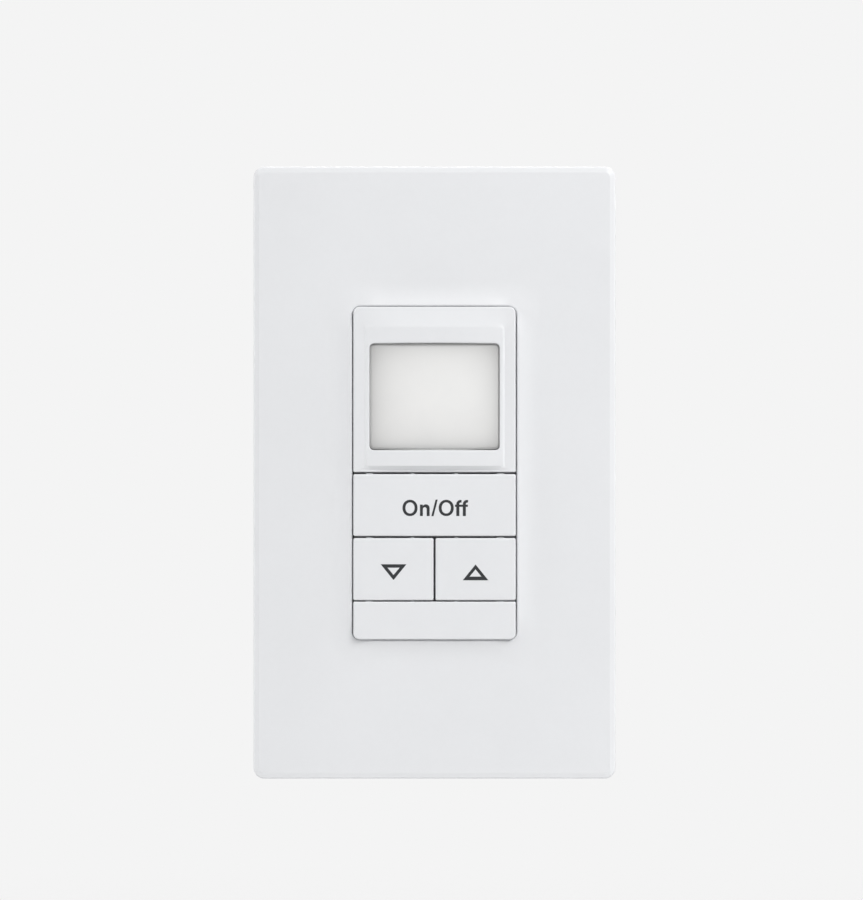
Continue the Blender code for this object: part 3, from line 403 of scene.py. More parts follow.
def keep(bm, name):
    """A bmesh in mm in the row frame, as an object in metres."""
    bmesh.ops.scale(bm, vec=(MM, MM, MM), verts=bm.verts)
    bmesh.ops.recalc_face_normals(bm, faces=bm.faces)
    mesh = bpy.data.meshes.new(name)
    bm.to_mesh(mesh)
    bm.free()
    obj = bpy.data.objects.new(name, mesh)
    scene.collection.objects.link(obj)
    return obj


def loft(name, rings, cap_first=False, cap_last=False, closed=False):
    """Quads between a row of rings with like numbers of points."""
    bm = bmesh.new()
    loops = [[bm.verts.new(p) for p in ring] for ring in rings]
    count = len(loops[0])
    pairs = list(zip(loops, loops[1:]))
    if closed:
        pairs.append((loops[-1], loops[0]))
    for a, b in pairs:
        for i in range(count):
            j = (i + 1) % count
            bm.faces.new((a[i], a[j], b[j], b[i]))
    if cap_first:
        bm.faces.new(loops[0])
    if cap_last:
        bm.faces.new(loops[-1])
    return keep(bm, name)


def outline(x, z, radii, corner=8, along_x=1, along_z=1):
    """Points round a rectangle with rounded corners, counter-clockwise from
    the low-x low-z corner, with the straight sides divided too."""
    radii = radii if isinstance(radii, (tuple, list)) else (radii,) * 4
    corners = ((x[0], z[0], 180), (x[1], z[0], 270), (x[1], z[1], 0), (x[0], z[1], 90))
    signs = ((1, 1), (-1, 1), (-1, -1), (1, -1))
    divide = (along_x, along_z, along_x, along_z)
    arcs = []
    for (cx, cz, begin), (sx, sz), r in zip(corners, signs, radii):
        r = max(r, 0.01)
        arcs.append(
            [
                (
                    cx + sx * r + r * math.cos(math.radians(begin + 90 * i / corner)),
                    cz + sz * r + r * math.sin(math.radians(begin + 90 * i / corner)),
                )
                for i in range(corner + 1)
            ]
        )
    points = []
    for k, arc in enumerate(arcs):
        points += arc
        a, b = arc[-1], arcs[(k + 1) % 4][0]
        for i in range(1, divide[k]):
            t = i / divide[k]
            points.append((a[0] + (b[0] - a[0]) * t, a[1] + (b[1] - a[1]) * t))
    return points


def at(points, y):
    """The outline at a Y value, or at y(x, z)."""
    return [(px, y(px, pz) if callable(y) else y, pz) for px, pz in points]


def slab(name, points, y):
    return loft(name, [at(points, y[0]), at(points, y[1])], True, True)


def box(name, x, y, z):
    bm = bmesh.new()
    bmesh.ops.create_cube(bm, size=1.0)
    bmesh.ops.scale(bm, vec=(x[1] - x[0], y[1] - y[0], z[1] - z[0]), verts=bm.verts)
    bmesh.ops.translate(
        bm, vec=((x[0] + x[1]) / 2, (y[0] + y[1]) / 2, (z[0] + z[1]) / 2), verts=bm.verts
    )
    return keep(bm, name)


ALONG = {
    "X": Matrix.Rotation(math.radians(90), 3, "Y"),
    "-X": Matrix.Rotation(math.radians(-90), 3, "Y"),
    "Y": Matrix.Rotation(math.radians(-90), 3, "X"),
    "-Y": Matrix.Rotation(math.radians(90), 3, "X"),
    "Z": Matrix.Identity(3),
}


def rod(name, radius, start, length, along="Y", steps=40, tip=None):
    bm = bmesh.new()
    bmesh.ops.create_cone(
        bm,
        cap_ends=True,
        segments=steps,
        radius1=radius,
        radius2=radius if tip is None else tip,
        depth=length,
    )
    bmesh.ops.translate(bm, vec=(0, 0, length / 2), verts=bm.verts)
    bmesh.ops.rotate(bm, cent=(0, 0, 0), matrix=ALONG[along], verts=bm.verts)
    bmesh.ops.translate(bm, vec=start, verts=bm.verts)
    return keep(bm, name)


def combine(target, operation, *others):
    """Joins or cuts at once, and removes what was joined or cut with."""
    for other in others:
        step = target.modifiers.new("step", "BOOLEAN")
        step.operation = operation
        step.solver = "EXACT"
        step.object = other
    settle(target)
    for other in others:
        mesh = other.data
        bpy.data.objects.remove(other, do_unlink=True)
        bpy.data.meshes.remove(mesh)
    return target


def cut(target, *others):
    return combine(target, "DIFFERENCE", *others)


def join(target, *others):
    return combine(target, "UNION", *others)


def settle(obj):
    """Applies the modifiers."""
    bpy.context.view_layer.update()
    graph = bpy.context.evaluated_depsgraph_get()
    mesh = bpy.data.meshes.new_from_object(obj.evaluated_get(graph))
    old = obj.data
    obj.modifiers.clear()
    obj.data = mesh
    mesh.name = obj.name
    bpy.data.meshes.remove(old)
    return obj


def ease(obj, width, segments=2, angle=35):
    """A small radius on every edge that is still sharp."""
    step = obj.modifiers.new("ease", "BEVEL")
    step.width = width * MM
    step.segments = segments
    step.limit_method = "ANGLE"
    step.angle_limit = math.radians(angle)
    step.use_clamp_overlap = True
    step.harden_normals = False
    return settle(obj)


def show(obj, finish, smooth=32, node=None, body=None, slot=None):
    """Shades the piece, gives it its finish and its CAD body."""
    mesh = obj.data
    mesh.materials.clear()
    mesh.materials.append(finish.mat)
    mesh.shade_smooth()
    mesh.set_sharp_from_angle(angle=math.radians(smooth))
    step = obj.modifiers.new("even", "WEIGHTED_NORMAL")
    step.keep_sharp = True
    step.weight = 80
    settle(obj)
    if node is not None:
        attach(obj, BODY_OF[node])
        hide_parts(node)
        slot = SLOT_OF[node] if slot is None else slot
    else:
        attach(obj, body)
    return obj


def quarter(steps):
    """Angles from 0 to a right angle."""
    return [math.pi / 2 * i / steps for i in range(steps + 1)]


# ----------------------------------------------------------------- wall plate
PLATE_W, PLATE_H, PLATE_CORNER = 36.25, 61.25, 2.2
PLATE_FACE, PLATE_EDGE = -6.8, 1.3
COLLAR_TOP, COLLAR_WIDTH = -7.6, 5.0
OPEN_W, OPEN_H, OPEN_TOP, OPEN_R = 16.45, 33.44, 33.275, 1.6
OPEN_DRAFT = 0.09
GRID = {"corner": 12, "along_x": 30, "along_z": 56}


def from_opening(d, y):
    return at(
        outline((-OPEN_W - d, OPEN_W + d), (-OPEN_H - d, OPEN_TOP + d), OPEN_R + d, **GRID), y
    )


def from_edge(inset, y):
    return at(
        outline(
            (-PLATE_W + inset, PLATE_W - inset),
            (-PLATE_H + inset, PLATE_H - inset),
            max(PLATE_CORNER - inset, 0.5),
            **GRID,
        ),
        y,
    )


def smooth_ramp(t):
    t = min(max(t, 0.0), 1.0)
    return t * t * (3 - 2 * t)


def collar(d, t, rounding=0.0):
    """A ring of the raised collar, which sinks toward the opening's corners."""
    ring = []
    for x, y, z in from_opening(d, PLATE_FACE):
        reach_x = OPEN_W - OPEN_R - 3.2
        reach_z = (OPEN_TOP if z > 0 else OPEN_H) - OPEN_R - 3.6
        sunk = smooth_ramp((abs(x) - reach_x) / 4.2) * smooth_ramp((abs(z) - reach_z) / 4.6)
        height = (COLLAR_TOP - PLATE_FACE) * (1 - 0.53 * sunk)
        ring.append((x, y + height * (1 - t) ** (2.3 - 0.85 * sunk) + rounding, z))
    return ring


def margin(inset, slope, rounding=0.0):
    """A ring of the plate's margin, which slopes more at the two sides."""
    r = max(PLATE_CORNER - inset, 0.5)
    ring = []
    for x, y, z in from_edge(inset, PLATE_FACE):
        side = min(max((abs(x) - (PLATE_W - inset - r)) / r, 0.0), 1.0) ** 2
        ring.append((x, y + slope * (1 + side) + rounding, z))
    return ring


plate_rings = [from_opening(-OPEN_DRAFT, -4.95), from_opening(-OPEN_DRAFT, -6.75)]
CREST_R = 0.30
for a in quarter(5):
    plate_rings.append(collar(CREST_R * (1 - math.cos(a)), 0.0, CREST_R * (1 - math.sin(a))))
for i in range(1, 19):
    t = i / 18
    plate_rings.append(collar(CREST_R + (COLLAR_WIDTH - CREST_R) * t, t))
for i in range(1, 5):
    # the flat field, in steps from the collar's outline to the plate's
    t = i / 5
    inner = outline(
        (-OPEN_W - COLLAR_WIDTH, OPEN_W + COLLAR_WIDTH),
        (-OPEN_H - COLLAR_WIDTH, OPEN_TOP + COLLAR_WIDTH),
        OPEN_R + COLLAR_WIDTH,
        **GRID,
    )
    outer = outline(
        (-PLATE_W + PLATE_EDGE, PLATE_W - PLATE_EDGE),
        (-PLATE_H + PLATE_EDGE, PLATE_H - PLATE_EDGE),
        PLATE_CORNER - PLATE_EDGE,
        **GRID,
    )
    plate_rings.append(
        at([(a[0] + (b[0] - a[0]) * t, a[1] + (b[1] - a[1]) * t) for a, b in zip(inner, outer)], PLATE_FACE)
    )
# a narrow, barely sloping margin runs round the plate inside its rounded edge
for inset, slope in ((1.22, 0.001), (1.14, 0.010), (1.06, 0.025), (0.45, 0.138)):
    plate_rings.append(margin(inset, slope))
for a in quarter(7):
    plate_rings.append(margin(0.40 * (1 - math.sin(a)), 0.148, 0.55 * (1 - math.cos(a))))
plate_rings += [
    from_edge(0.0, -3.0),
    from_edge(0.0, -0.2),
    from_edge(0.06, -0.06),
    from_edge(0.2, 0.0),
    from_edge(1.6, 0.0),
    from_edge(1.74, -0.06),
    from_edge(1.8, -0.2),
    from_edge(1.8, -2.6),
]
for a in quarter(4):
    plate_rings.append(from_edge(1.8 + 0.5 * (1 - math.cos(a)), -4.5 - 0.5 * math.sin(a)))
for a in quarter(3):
    plate_rings.append(from_opening(2.2 - 0.4 * math.sin(a), -5.0 + 0.1 * (1 - math.cos(a))))
plate_rings += [from_opening(1.7, -4.9), from_opening(0.05 - OPEN_DRAFT, -4.9)]
wall_plate = loft("wall_plate_fine", plate_rings, closed=True)


def wedge(name, points, span, along):
    """A catch: its section (distance from the wall, Y) drawn along an edge."""
    place, low, high, side = along
    rings = []
    for s in (low, high):
        ring = []
        for d, y in points:
            w = side * (span - d)
            ring.append((w, y, s) if place == "x" else (s, y, w))
        rings.append(ring)
    return loft(name, rings, True, True)


catch = [(-0.5, -1.9), (0.25, -1.45), (1.3, -1.25), (1.3, -1.0), (0.5, -0.35), (-0.5, -0.35)]
catches = []
for side in (-1, 1):
    for z in (-38.0, 38.0):
        catches.append(wedge("catch", catch, PLATE_W - 1.8, ("x", z - 4, z + 4, side)))
    for x in (-17.0, 17.0):
        catches.append(wedge("catch", catch, PLATE_H - 1.8, ("z", x - 4, x + 4, side)))
join(wall_plate, *catches)
cut(wall_plate, box("notch", (-4, 4), (-1.4, 1.0), (-PLATE_H - 1, -PLATE_H + 2.8)))
show(wall_plate, cover_plastic, 32, "wall_plate")

# --------------------------------------------------------------- front housing
HALF_W = 16.2
DEVICE_TOP, DEVICE_BOTTOM = 33.165, -33.3
BEZEL_EDGE, CROWN, CROWN_SIDE = -8.02, 0.86, 0.28
ROW_1, ROW_2, ROW_3 = -0.08, -12.84, -25.60
INNER, INNER_LOW = 0.215, 0.15
RIM = 0.28
DRAFT, SIDE_DRAFT, DRAFT_DEPTH = 0.06, 0.07, -6.7
BEZEL_LOW = ROW_1 + INNER
SIDE_CREASE, TOP_CREASE, LOW_CREASE = 13.6, DEVICE_TOP - 4.10, BEZEL_LOW + 1.4
WINDOW_HALF_W, WINDOW_LOW, WINDOW_HIGH, WINDOW_R = 13.0, 4.52, 25.91, 0.9
WINDOW_ARCH = 0.12
SPACERS = ((-13.0, 1.35), (-4.4, 0.75), (4.35, 0.7), (13.2, 1.5))
SPACER_DEPTH = 0.62
KEY_FACE = -8.2


def soft_step(v, soft):
    """0 below 0, 1 above 1, with both corners rounded."""
    if v <= -soft:
        return 0.0
    if v < soft:
        return (v + soft) ** 2 / (4 * soft)
    if v > 1 + soft:
        return 1.0
    if v > 1 - soft:
        return 1.0 - (1 + soft - v) ** 2 / (4 * soft)
    return v


def bezel_lift(x, z):
    """How far the sloped and crowned field stands above the bezel's edge."""
    share = min(abs(x) / SIDE_CREASE, 1.0)
    rise = soft_step((z - LOW_CREASE) / (TOP_CREASE - LOW_CREASE), 0.1)
    crown = CROWN_SIDE + (CROWN - 0.16 * rise - CROWN_SIDE) * (1 - share**3)
    # the side steps are crisp beside the window and fade out over the slope
    spread = min(max((z - TOP_CREASE + 0.3) / 0.9, 0.0), 1.0)
    side = soft_step((14.02 + 0.9 * spread - abs(x)) / (0.36 + 1.9 * spread), 0.25)
    top = soft_step((DEVICE_TOP - 0.35 - z) / 3.75, 0.05)
    low = soft_step((z - BEZEL_LOW - 0.33) / 0.95, 0.07)
    dip = 0.12 * soft_step((14.1 - abs(x)) / 1.0, 0.3) * (1 - low) * (z < 10)
    return crown * side * top * low - dip


def bezel_y(x, z):
    return BEZEL_EDGE - bezel_lift(x, z)


def drafted(x, z, radii, front, rim, rear, drafts, grid, start):
    """Rings from the rear of a drafted wall up and over its rounded rim.
    drafts: how far the left, right, low and high walls lean out at depth."""
    left, right, low, high = drafts

    def ring(share, inset, y):
        return at(
            outline(
                (x[0] - left * share + inset, x[1] + right * share - inset),
                (z[0] - low * share + inset, z[1] + high * share - inset),
                [max(r - inset, 0.05) for r in radii],
                **grid,
            ),
            y,
        )

    rings = [ring(1.0, inset, y) for inset, y in start]
    rings += [ring(1.0, 0.0, rear), ring(1.0, 0.0, DRAFT_DEPTH)]
    for a in quarter(5):
        rings.append(ring(0.0, rim * (1 - math.cos(a)), front + rim * (1 - math.sin(a))))
    return rings


BEZEL_GRID = {"corner": 7, "along_x": 30, "along_z": 26}
bezel_rings = drafted(
    (-HALF_W, HALF_W),
    (BEZEL_LOW, DEVICE_TOP),
    (0.3, 0.3, 1.25, 1.25),
    BEZEL_EDGE,
    RIM,
    -5.0,
    (SIDE_DRAFT, SIDE_DRAFT, DRAFT, 0.03),
    BEZEL_GRID,
    [(0.0, -2.2)],
)


def blend_rings(a, b, t):
    return [(p[0] + (q[0] - p[0]) * t, p[1] + (q[1] - p[1]) * t) for p, q in zip(a, b)]


def window_outline(off):
    """The window's outline; its upper edge bows upwards a little."""
    middle = (WINDOW_LOW + WINDOW_HIGH) / 2
    bowed = []
    for px, pz in outline(
        (-WINDOW_HALF_W - off, WINDOW_HALF_W + off),
        (WINDOW_LOW - off, WINDOW_HIGH - WINDOW_ARCH + off),
        WINDOW_R + off,
        **BEZEL_GRID,
    ):
        share = max(0.0, (pz - middle) / (WINDOW_HIGH - middle))
        bowed.append((px, pz + WINDOW_ARCH * (1 - (px / WINDOW_HALF_W) ** 2) * share**4))
    return bowed


edge_line = outline(
    (-HALF_W + RIM, HALF_W - RIM),
    (BEZEL_LOW + RIM, DEVICE_TOP - RIM),
    (0.05, 0.05, 0.97, 0.97),
    **BEZEL_GRID,
)
crease_line = outline(
    (-SIDE_CREASE, SIDE_CREASE), (LOW_CREASE, TOP_CREASE), (0.15, 0.15, 0.4, 0.4), **BEZEL_GRID
)
WINDOW_RIM = 0.2
for i in range(1, 25):
    bezel_rings.append(at(blend_rings(edge_line, crease_line, i / 24), bezel_y))
for i in range(1, 13):
    bezel_rings.append(at(blend_rings(crease_line, window_outline(WINDOW_RIM), i / 12), bezel_y))
for a in quarter(4)[1:]:
    drop = WINDOW_RIM * (1 - math.cos(a))
    bezel_rings.append(
        at(
            window_outline(WINDOW_RIM * (1 - math.sin(a))),
            lambda x, z, drop=drop: bezel_y(x, z) + drop,
        )
    )
bezel_rings += [at(window_outline(0.0), -7.6), at(window_outline(0.0), -5.0)]
front_housing = loft("front_housing_fine", bezel_rings, cap_first=True, cap_last=True)

# the blank section below the buttons
blank_rings = drafted(
    (-HALF_W, HALF_W),
    (DEVICE_BOTTOM, ROW_3 - INNER_LOW),
    (1.25, 1.25, 0.3, 0.3),
    -8.15,
    RIM,
    -5.0,
    (SIDE_DRAFT, SIDE_DRAFT, 0.03, DRAFT),
    {"corner": 7, "along_x": 10, "along_z": 4},
    [(0.0, -2.2)],
)
blank_rings.append(
    at(
        outline(
            (-HALF_W + 0.9, HALF_W - 0.9),
            (DEVICE_BOTTOM + 0.9, ROW_3 - INNER_LOW - 0.9),
            (0.35, 0.35, 0.05, 0.05),
            7,
            10,
            4,
        ),
        -8.15,
    )
)
extra = [
    loft("blank_section", blank_rings, cap_first=True, cap_last=True),
    slab(
        "floor",
        outline((-HALF_W + 0.02, HALF_W - 0.02), (ROW_3 - 1.0, ROW_1 + 1.0), 0.05, 2),
        (-4.2, -2.0),
    ),
    slab("flange", outline((-18.5, 18.5), (-35.2, 35.2), 2.0, 8), (-2.9, -1.5)),
]


def spacer(x, width, top):
    """A small rib that stands out of a wall's upper edge."""
    rib = box(
        "spacer",
        (x - width / 2, x + width / 2),
        (KEY_FACE + SPACER_DEPTH, -5.2),
        (top - 0.4, top + 0.18),
    )
    return ease(rib, 0.06, 1)


for x, width in SPACERS:
    extra.append(spacer(x, width, ROW_3 - INNER_LOW))
join(front_housing, *extra)
cutters = [
    box("cavity", (-14.4, 14.4), (-7.3, 2), (3.4, 27.1)),
    box("pocket", (-14.4, 14.4), (-2.9, 2), (-25.2, 4.4)),
]
POSTS = ((13.2, 29.4), (-13.2, 29.4), (8.0, -29.4), (-8.0, -29.4))
for x, z in POSTS:
    cutters.append(rod("pilot", 1.5, (x, -6.5, z), 8, "Y", 28))
cutters.append(rod("ground_clear", 2.4, (-16.9, -4.6, -29.2), 6, "Y", 32))
SPLIT = 0.42
BUTTONS = (
    (
        "on_off_button",
        (-HALF_W, HALF_W),
        (ROW_2 + INNER, ROW_1 - INNER),
        (SIDE_DRAFT, SIDE_DRAFT, DRAFT, DRAFT),
        (0.0, -6.425),
        (-12.0, 12.0),
    ),
    (
        "dim_down_button",
        (-HALF_W, -SPLIT / 2),
        (ROW_3 + INNER_LOW, ROW_2 - INNER),
        (SIDE_DRAFT, DRAFT, DRAFT, DRAFT),
        (-8.2125, -19.25),
        (-12.9, -2.7),
    ),
    (
        "dim_up_button",
        (SPLIT / 2, HALF_W),
        (ROW_3 + INNER_LOW, ROW_2 - INNER),
        (DRAFT, SIDE_DRAFT, DRAFT, DRAFT),
        (8.2125, -19.25),
        (2.7, 12.9),
    ),
)

for name, xs, zs, drafts, (cx, cz), hooks in BUTTONS:
    cutters.append(rod("post_hole", 1.9, (cx, -6, cz), 5, "Y", 32))
    for hook in hooks:
        cutters.append(box("hook_slot", (hook - 1.5, hook + 1.5), (-6, -1), (cz - 0.85, cz + 0.85)))
cut(front_housing, *cutters)
join(
    front_housing,
    *[
        rod("peg", 1.0, (x, -3.4, z), 4.4, "Y", 24)
        for x, z in ((-13.2, 1.9), (13.2, 1.9), (-12.6, -22.6), (12.6, -22.6))
    ],
)
show(front_housing, key_plastic, 30, "front_housing")

# -------------------------------------------------------------------- buttons
KEY_EDGE, KEY_REAR, KEY_WALL, KEY_SKIN = 0.30, -5.0, 1.2, 1.4
for name, xs, zs, drafts, (cx, cz), hooks in BUTTONS:
    key_rings = drafted(
        xs,
        zs,
        (0.36, 0.36, 0.36, 0.36),
        KEY_FACE,
        KEY_EDGE,
        KEY_REAR - 0.12,
        drafts,
        {"corner": 6, "along_x": 8, "along_z": 4},
        [(0.12, KEY_REAR)],
    )
    key_rings.append(
        at(outline((xs[0] + 0.9, xs[1] - 0.9), (zs[0] + 0.9, zs[1] - 0.9), 0.05, 6, 8, 4), KEY_FACE)
    )
    key = loft(f"{name}_fine", key_rings, cap_first=True, cap_last=True)
    cut(
        key,
        box(
            "hollow",
            (xs[0] + KEY_WALL, xs[1] - KEY_WALL),
            (KEY_FACE + KEY_SKIN, 0),
            (zs[0] + KEY_WALL, zs[1] - KEY_WALL),
        ),
    )
    front = KEY_FACE + KEY_SKIN - 0.4
    added = [
        rod("post", 1.2, (cx, front, cz), -3.6 - front, "Y", 24),
        box("rib", (xs[0] + 0.6, xs[1] - 0.6), (front, KEY_REAR - 0.6), (cz - 0.4, cz + 0.4)),
    ]
    for hook in hooks:
        added.append(box("hook", (hook - 1.1, hook + 1.1), (front, -1.9), (cz - 0.5, cz + 0.5)))
        added.append(box("barb", (hook - 1.1, hook + 1.1), (-2.55, -1.9), (cz + 0.2, cz + 1.25)))
    for x, width in SPACERS:
        if xs[0] < x < xs[1]:
            added.append(spacer(x, width, zs[1]))
    join(key, *added)
    show(key, key_plastic, 30, name)

# ---------------------------------------------------------------- sensor lens
LENS_EDGE, LENS_CROWN, LENS_FLANGE, LENS_SHOULDER = -8.0, -9.0, -7.0, -7.79
LENS_GRID = {"corner": 8, "along_x": 22, "along_z": 18}


def lens_outline(grow, share=1.0, radius=0.7):
    """The lens outline; its upper and lower edges bow outwards a little."""
    w, h = (LENS_HALF_W + grow) * share, (LENS_HALF_H + grow) * share
    points = outline((-w, w), (-h, h), radius, **LENS_GRID)
    bowed = []
    for px, pz in points:
        bow = LENS_BOW * (1 - (px / max(w, 1e-6)) ** 2) * (abs(pz) / max(h, 1e-6)) ** 6 * share
        pz = pz * (1 - LENS_BOW / LENS_HALF_H) + math.copysign(bow, pz)
        bowed.append((px, LENS_Z + pz))
    return bowed


LENS_BOW = 0.24


def lens_y(x, z):
    u = min(abs(x) / LENS_HALF_W, 1.0)
    v = min(abs(z - LENS_Z) / LENS_HALF_H, 1.0)
    bulge = (1 - u**2.2) * (1 - v**2.2)
    return LENS_EDGE + (LENS_CROWN + 0.02 - LENS_EDGE) * bulge


lens_rings = [
    at(lens_outline(1.2, radius=1.2), LENS_FLANGE),
    at(lens_outline(0.22, radius=0.9), LENS_FLANGE),
    at(lens_outline(0.22, radius=0.9), LENS_SHOULDER + 0.04),
    at(lens_outline(0.18, radius=0.86), LENS_SHOULDER),
    at(lens_outline(0.0), LENS_SHOULDER),
    at(lens_outline(0.0), LENS_EDGE + 0.25),
]
for a in quarter(4)[1:]:
    inset = 0.2 * (1 - math.cos(a))
    lens_rings.append(at(lens_outline(-inset), LENS_EDGE + 0.2 * (1 - math.sin(a)) + 0.04))
for i in range(1, 23):
    share = 1.0 - 0.016 - 0.964 * i / 22
    radius = 0.7 * share + 2.2 * share * (1 - share)
    lens_rings.append(at(lens_outline(0.0, share, radius), lens_y))
lens = loft("fresnel_lens_fine", lens_rings, cap_last=True)
face = max(lens.data.polygons, key=lambda p: abs(p.normal.y) * p.area)
if face.normal.y > 0:
    lens.data.flip_normals()
wall = lens.modifiers.new("wall", "SOLIDIFY")
wall.thickness = 0.55 * MM
wall.offset = -1.0
wall.use_even_offset = True
settle(lens)
show(lens, lens_plastic, 40, "fresnel_lens")

# ------------------------------------------------------------- printed marks


def pixel(px, py):
    """A place on the front by the photograph's pixels, as (x, z)."""
    return ((px - 434.5) * 0.2, (472.75 - py) * 0.2)


def inlay(name, loops, front=KEY_FACE - 0.016, back=KEY_FACE + 0.02):
    """A thin printed shape bounded by loops of (x, z)."""
    bm = bmesh.new()
    edges = []
    for points in loops:
        verts = [bm.verts.new((x, front, z)) for x, z in points]
        edges += [bm.edges.new((verts[i], verts[(i + 1) % len(verts)])) for i in range(len(verts))]
    bmesh.ops.triangle_fill(bm, edges=edges, use_beauty=True, use_dissolve=False)
    made = bmesh.ops.extrude_face_region(bm, geom=list(bm.faces))["geom"]
    moved = [g for g in made if isinstance(g, bmesh.types.BMVert)]
    bmesh.ops.translate(bm, vec=(0, back - front, 0), verts=moved)
    return keep(bm, name)


def round_loop(cx, cy, rx, ry, power=2.12, steps=56):
    points = []
    for i in range(steps):
        a = 2 * math.pi * i / steps
        c, s = math.cos(a), math.sin(a)
        points.append(
            pixel(
                cx + rx * math.copysign(abs(c) ** (2 / power), c),
                cy + ry * math.copysign(abs(s) ** (2 / power), s),
            )
        )
    return points


def stroke(path):
    """The outline of a line with a width at each point: (px, py, width)."""
    left, right = [], []
    for i, (px, py, width) in enumerate(path):
        a, b = path[max(i - 1, 0)], path[min(i + 1, len(path) - 1)]
        dx, dy = b[0] - a[0], b[1] - a[1]
        size = math.hypot(dx, dy)
        nx, ny = -dy / size, dx / size
        left.append(pixel(px + nx * width / 2, py + ny * width / 2))
        right.append(pixel(px - nx * width / 2, py - ny * width / 2))
    return left + right[::-1]


def arc_points(cx, cy, rx, ry, begin, end, steps):
    return [
        (
            cx + rx * math.cos(math.radians(begin + (end - begin) * i / steps)),
            cy + ry * math.sin(math.radians(begin + (end - begin) * i / steps)),
        )
        for i in range(steps + 1)
    ]


marks = []
for cx in (410.05, 446.2):
    marks.append(
        inlay("letter_o", [round_loop(cx, 507.8, 7.5, 8.1), round_loop(cx, 507.8, 4.56, 5.54)])
    )
n_loop = [(420.0, 515.85), (420.0, 504.45), (422.75, 504.45), (422.8, 505.5)]
n_loop += arc_points(425.9, 508.1, 3.75, 3.95, 226, 360, 12)
n_loop += [(429.65, 515.85), (426.7, 515.85)]
n_loop += arc_points(424.8, 509.0, 1.9, 1.95, 0, -180, 12)
n_loop += [(422.9, 515.85)]
marks.append(inlay("letter_n", [[pixel(*p) for p in n_loop]]))
marks.append(
    inlay("slash", [[pixel(*p) for p in ((431.37, 516.0), (433.5, 516.0), (437.7, 499.5), (435.57, 499.5))]])
)
for cx in (457.75, 464.25):
    path = [(cx, 515.85, 3.06), (cx, 504.3, 3.06)]
    hook = arc_points(cx + 2.75, 503.9, 2.75, 2.75, 180, 268, 9)
    path += [(px, py, 3.0 - 0.04 * i) for i, (px, py) in enumerate(hook)]
    path.append((cx + 3.75, 501.2, 2.5))
    marks.append(inlay("letter_f", [stroke(path)]))
marks.append(
    inlay(
        "f_bar",
        [[pixel(*p) for p in ((454.9, 506.7), (467.75, 506.7), (467.75, 504.55), (454.9, 504.55))]],
        KEY_FACE - 0.015,
        KEY_FACE + 0.021,
    )
)
lettering, others = marks[0], marks[1:]
lettering.name = "on_off_lettering"
join(lettering, *others)
show(lettering, print_ink, 30, body="on_off_key")
down = inlay(
    "dim_down_mark",
    [
        [pixel(*p) for p in ((380.8, 564.0), (406.5, 564.0), (393.6, 579.8))],
        [pixel(*p) for p in ((387.6, 567.4), (399.7, 567.4), (393.6, 574.7))],
    ],
)
show(down, print_ink, 30, body="dim_down_key")
up = inlay(
    "dim_up_mark",
    [
        [pixel(*p) for p in ((475.45, 564.2), (488.2, 579.95), (462.7, 579.95))],
        [pixel(*p) for p in ((475.45, 569.1), (481.3, 576.3), (469.5, 576.3))],
    ],
)
show(up, print_ink, 30, body="dim_up_key")

# -------------------------------------------------------------------- screws


def turned_screw(
    name, head_r, head_h, shank_r, length, seat, along, finish, slot, node, cross=False, pitch=0.79, plain=0.6
):
    """Pan-head screw with a rolled thread. Height 0 is under the head."""
    steps = 48

    def ring(r, h):
        return [
            (r * math.cos(2 * math.pi * i / steps), r * math.sin(2 * math.pi * i / steps), h)
            for i in range(steps)
        ]

    profile = [(head_r * 0.02, head_h)]
    for i in range(1, 9):
        a = math.pi / 2 * i / 8
        profile.append((head_r * math.sin(a) ** 0.8, head_h * (0.30 + 0.70 * math.cos(a) ** 0.9)))
    profile += [(head_r, head_h * 0.12), (head_r - 0.12, 0.0), (shank_r * 1.02, 0.0)]
    rings = [ring(r, h) for r, h in profile]
    depth = pitch * 0.42
    tip = 0.9
    count = max(int((length - plain) / (pitch / 8)), 4)
    rings.append(ring(shank_r - depth * 0.5, -plain * 0.4))
    for k in range(count + 1):
        h = -plain - (length - plain) * k / count
        near_tip = min(1.0, (length + h) / tip)
        points = []
        for i in range(steps):
            share = i / steps
            phase = (-h / pitch - share) % 1.0
            tooth = 1.0 - abs(phase - 0.5) * 2.0
            tooth = min(1.0, max(0.0, (tooth - 0.08) / 0.78))
            start = min(1.0, (-plain - h) / pitch + 0.05)
            r = shank_r - depth * (1.0 - tooth * start)
            r -= (1.0 - near_tip) * depth * 1.1
            points.append(
                (r * math.cos(2 * math.pi * share), r * math.sin(2 * math.pi * share), h)
            )
        rings.append(points)
    obj = loft(name, rings, True, True)
    recess = []
    for width, reach, deep, turn in (
        ((slot[0], slot[1], slot[2], 0.0), (slot[0], 0.55, slot[2] * 1.15, 90.0)) if cross else ((slot[0], slot[1], slot[2], 0.0),)
    ):
        bm = bmesh.new()
        bmesh.ops.create_cube(bm, size=1.0)
        bmesh.ops.scale(bm, vec=(head_r * 2 * reach, width, deep + 1.0), verts=bm.verts)
        bmesh.ops.translate(bm, vec=(0, 0, head_h + (1.0 - deep) / 2), verts=bm.verts)
        bmesh.ops.rotate(
            bm, cent=(0, 0, 0), matrix=Matrix.Rotation(math.radians(turn), 3, "Z"), verts=bm.verts
        )
        recess.append(keep(bm, "recess"))
    cut(obj, *recess)
    place = Matrix.Translation(Vector(seat) * MM) @ ALONG[along].to_4x4()
    obj.data.transform(place)
    return show(obj, finish, 28, node)


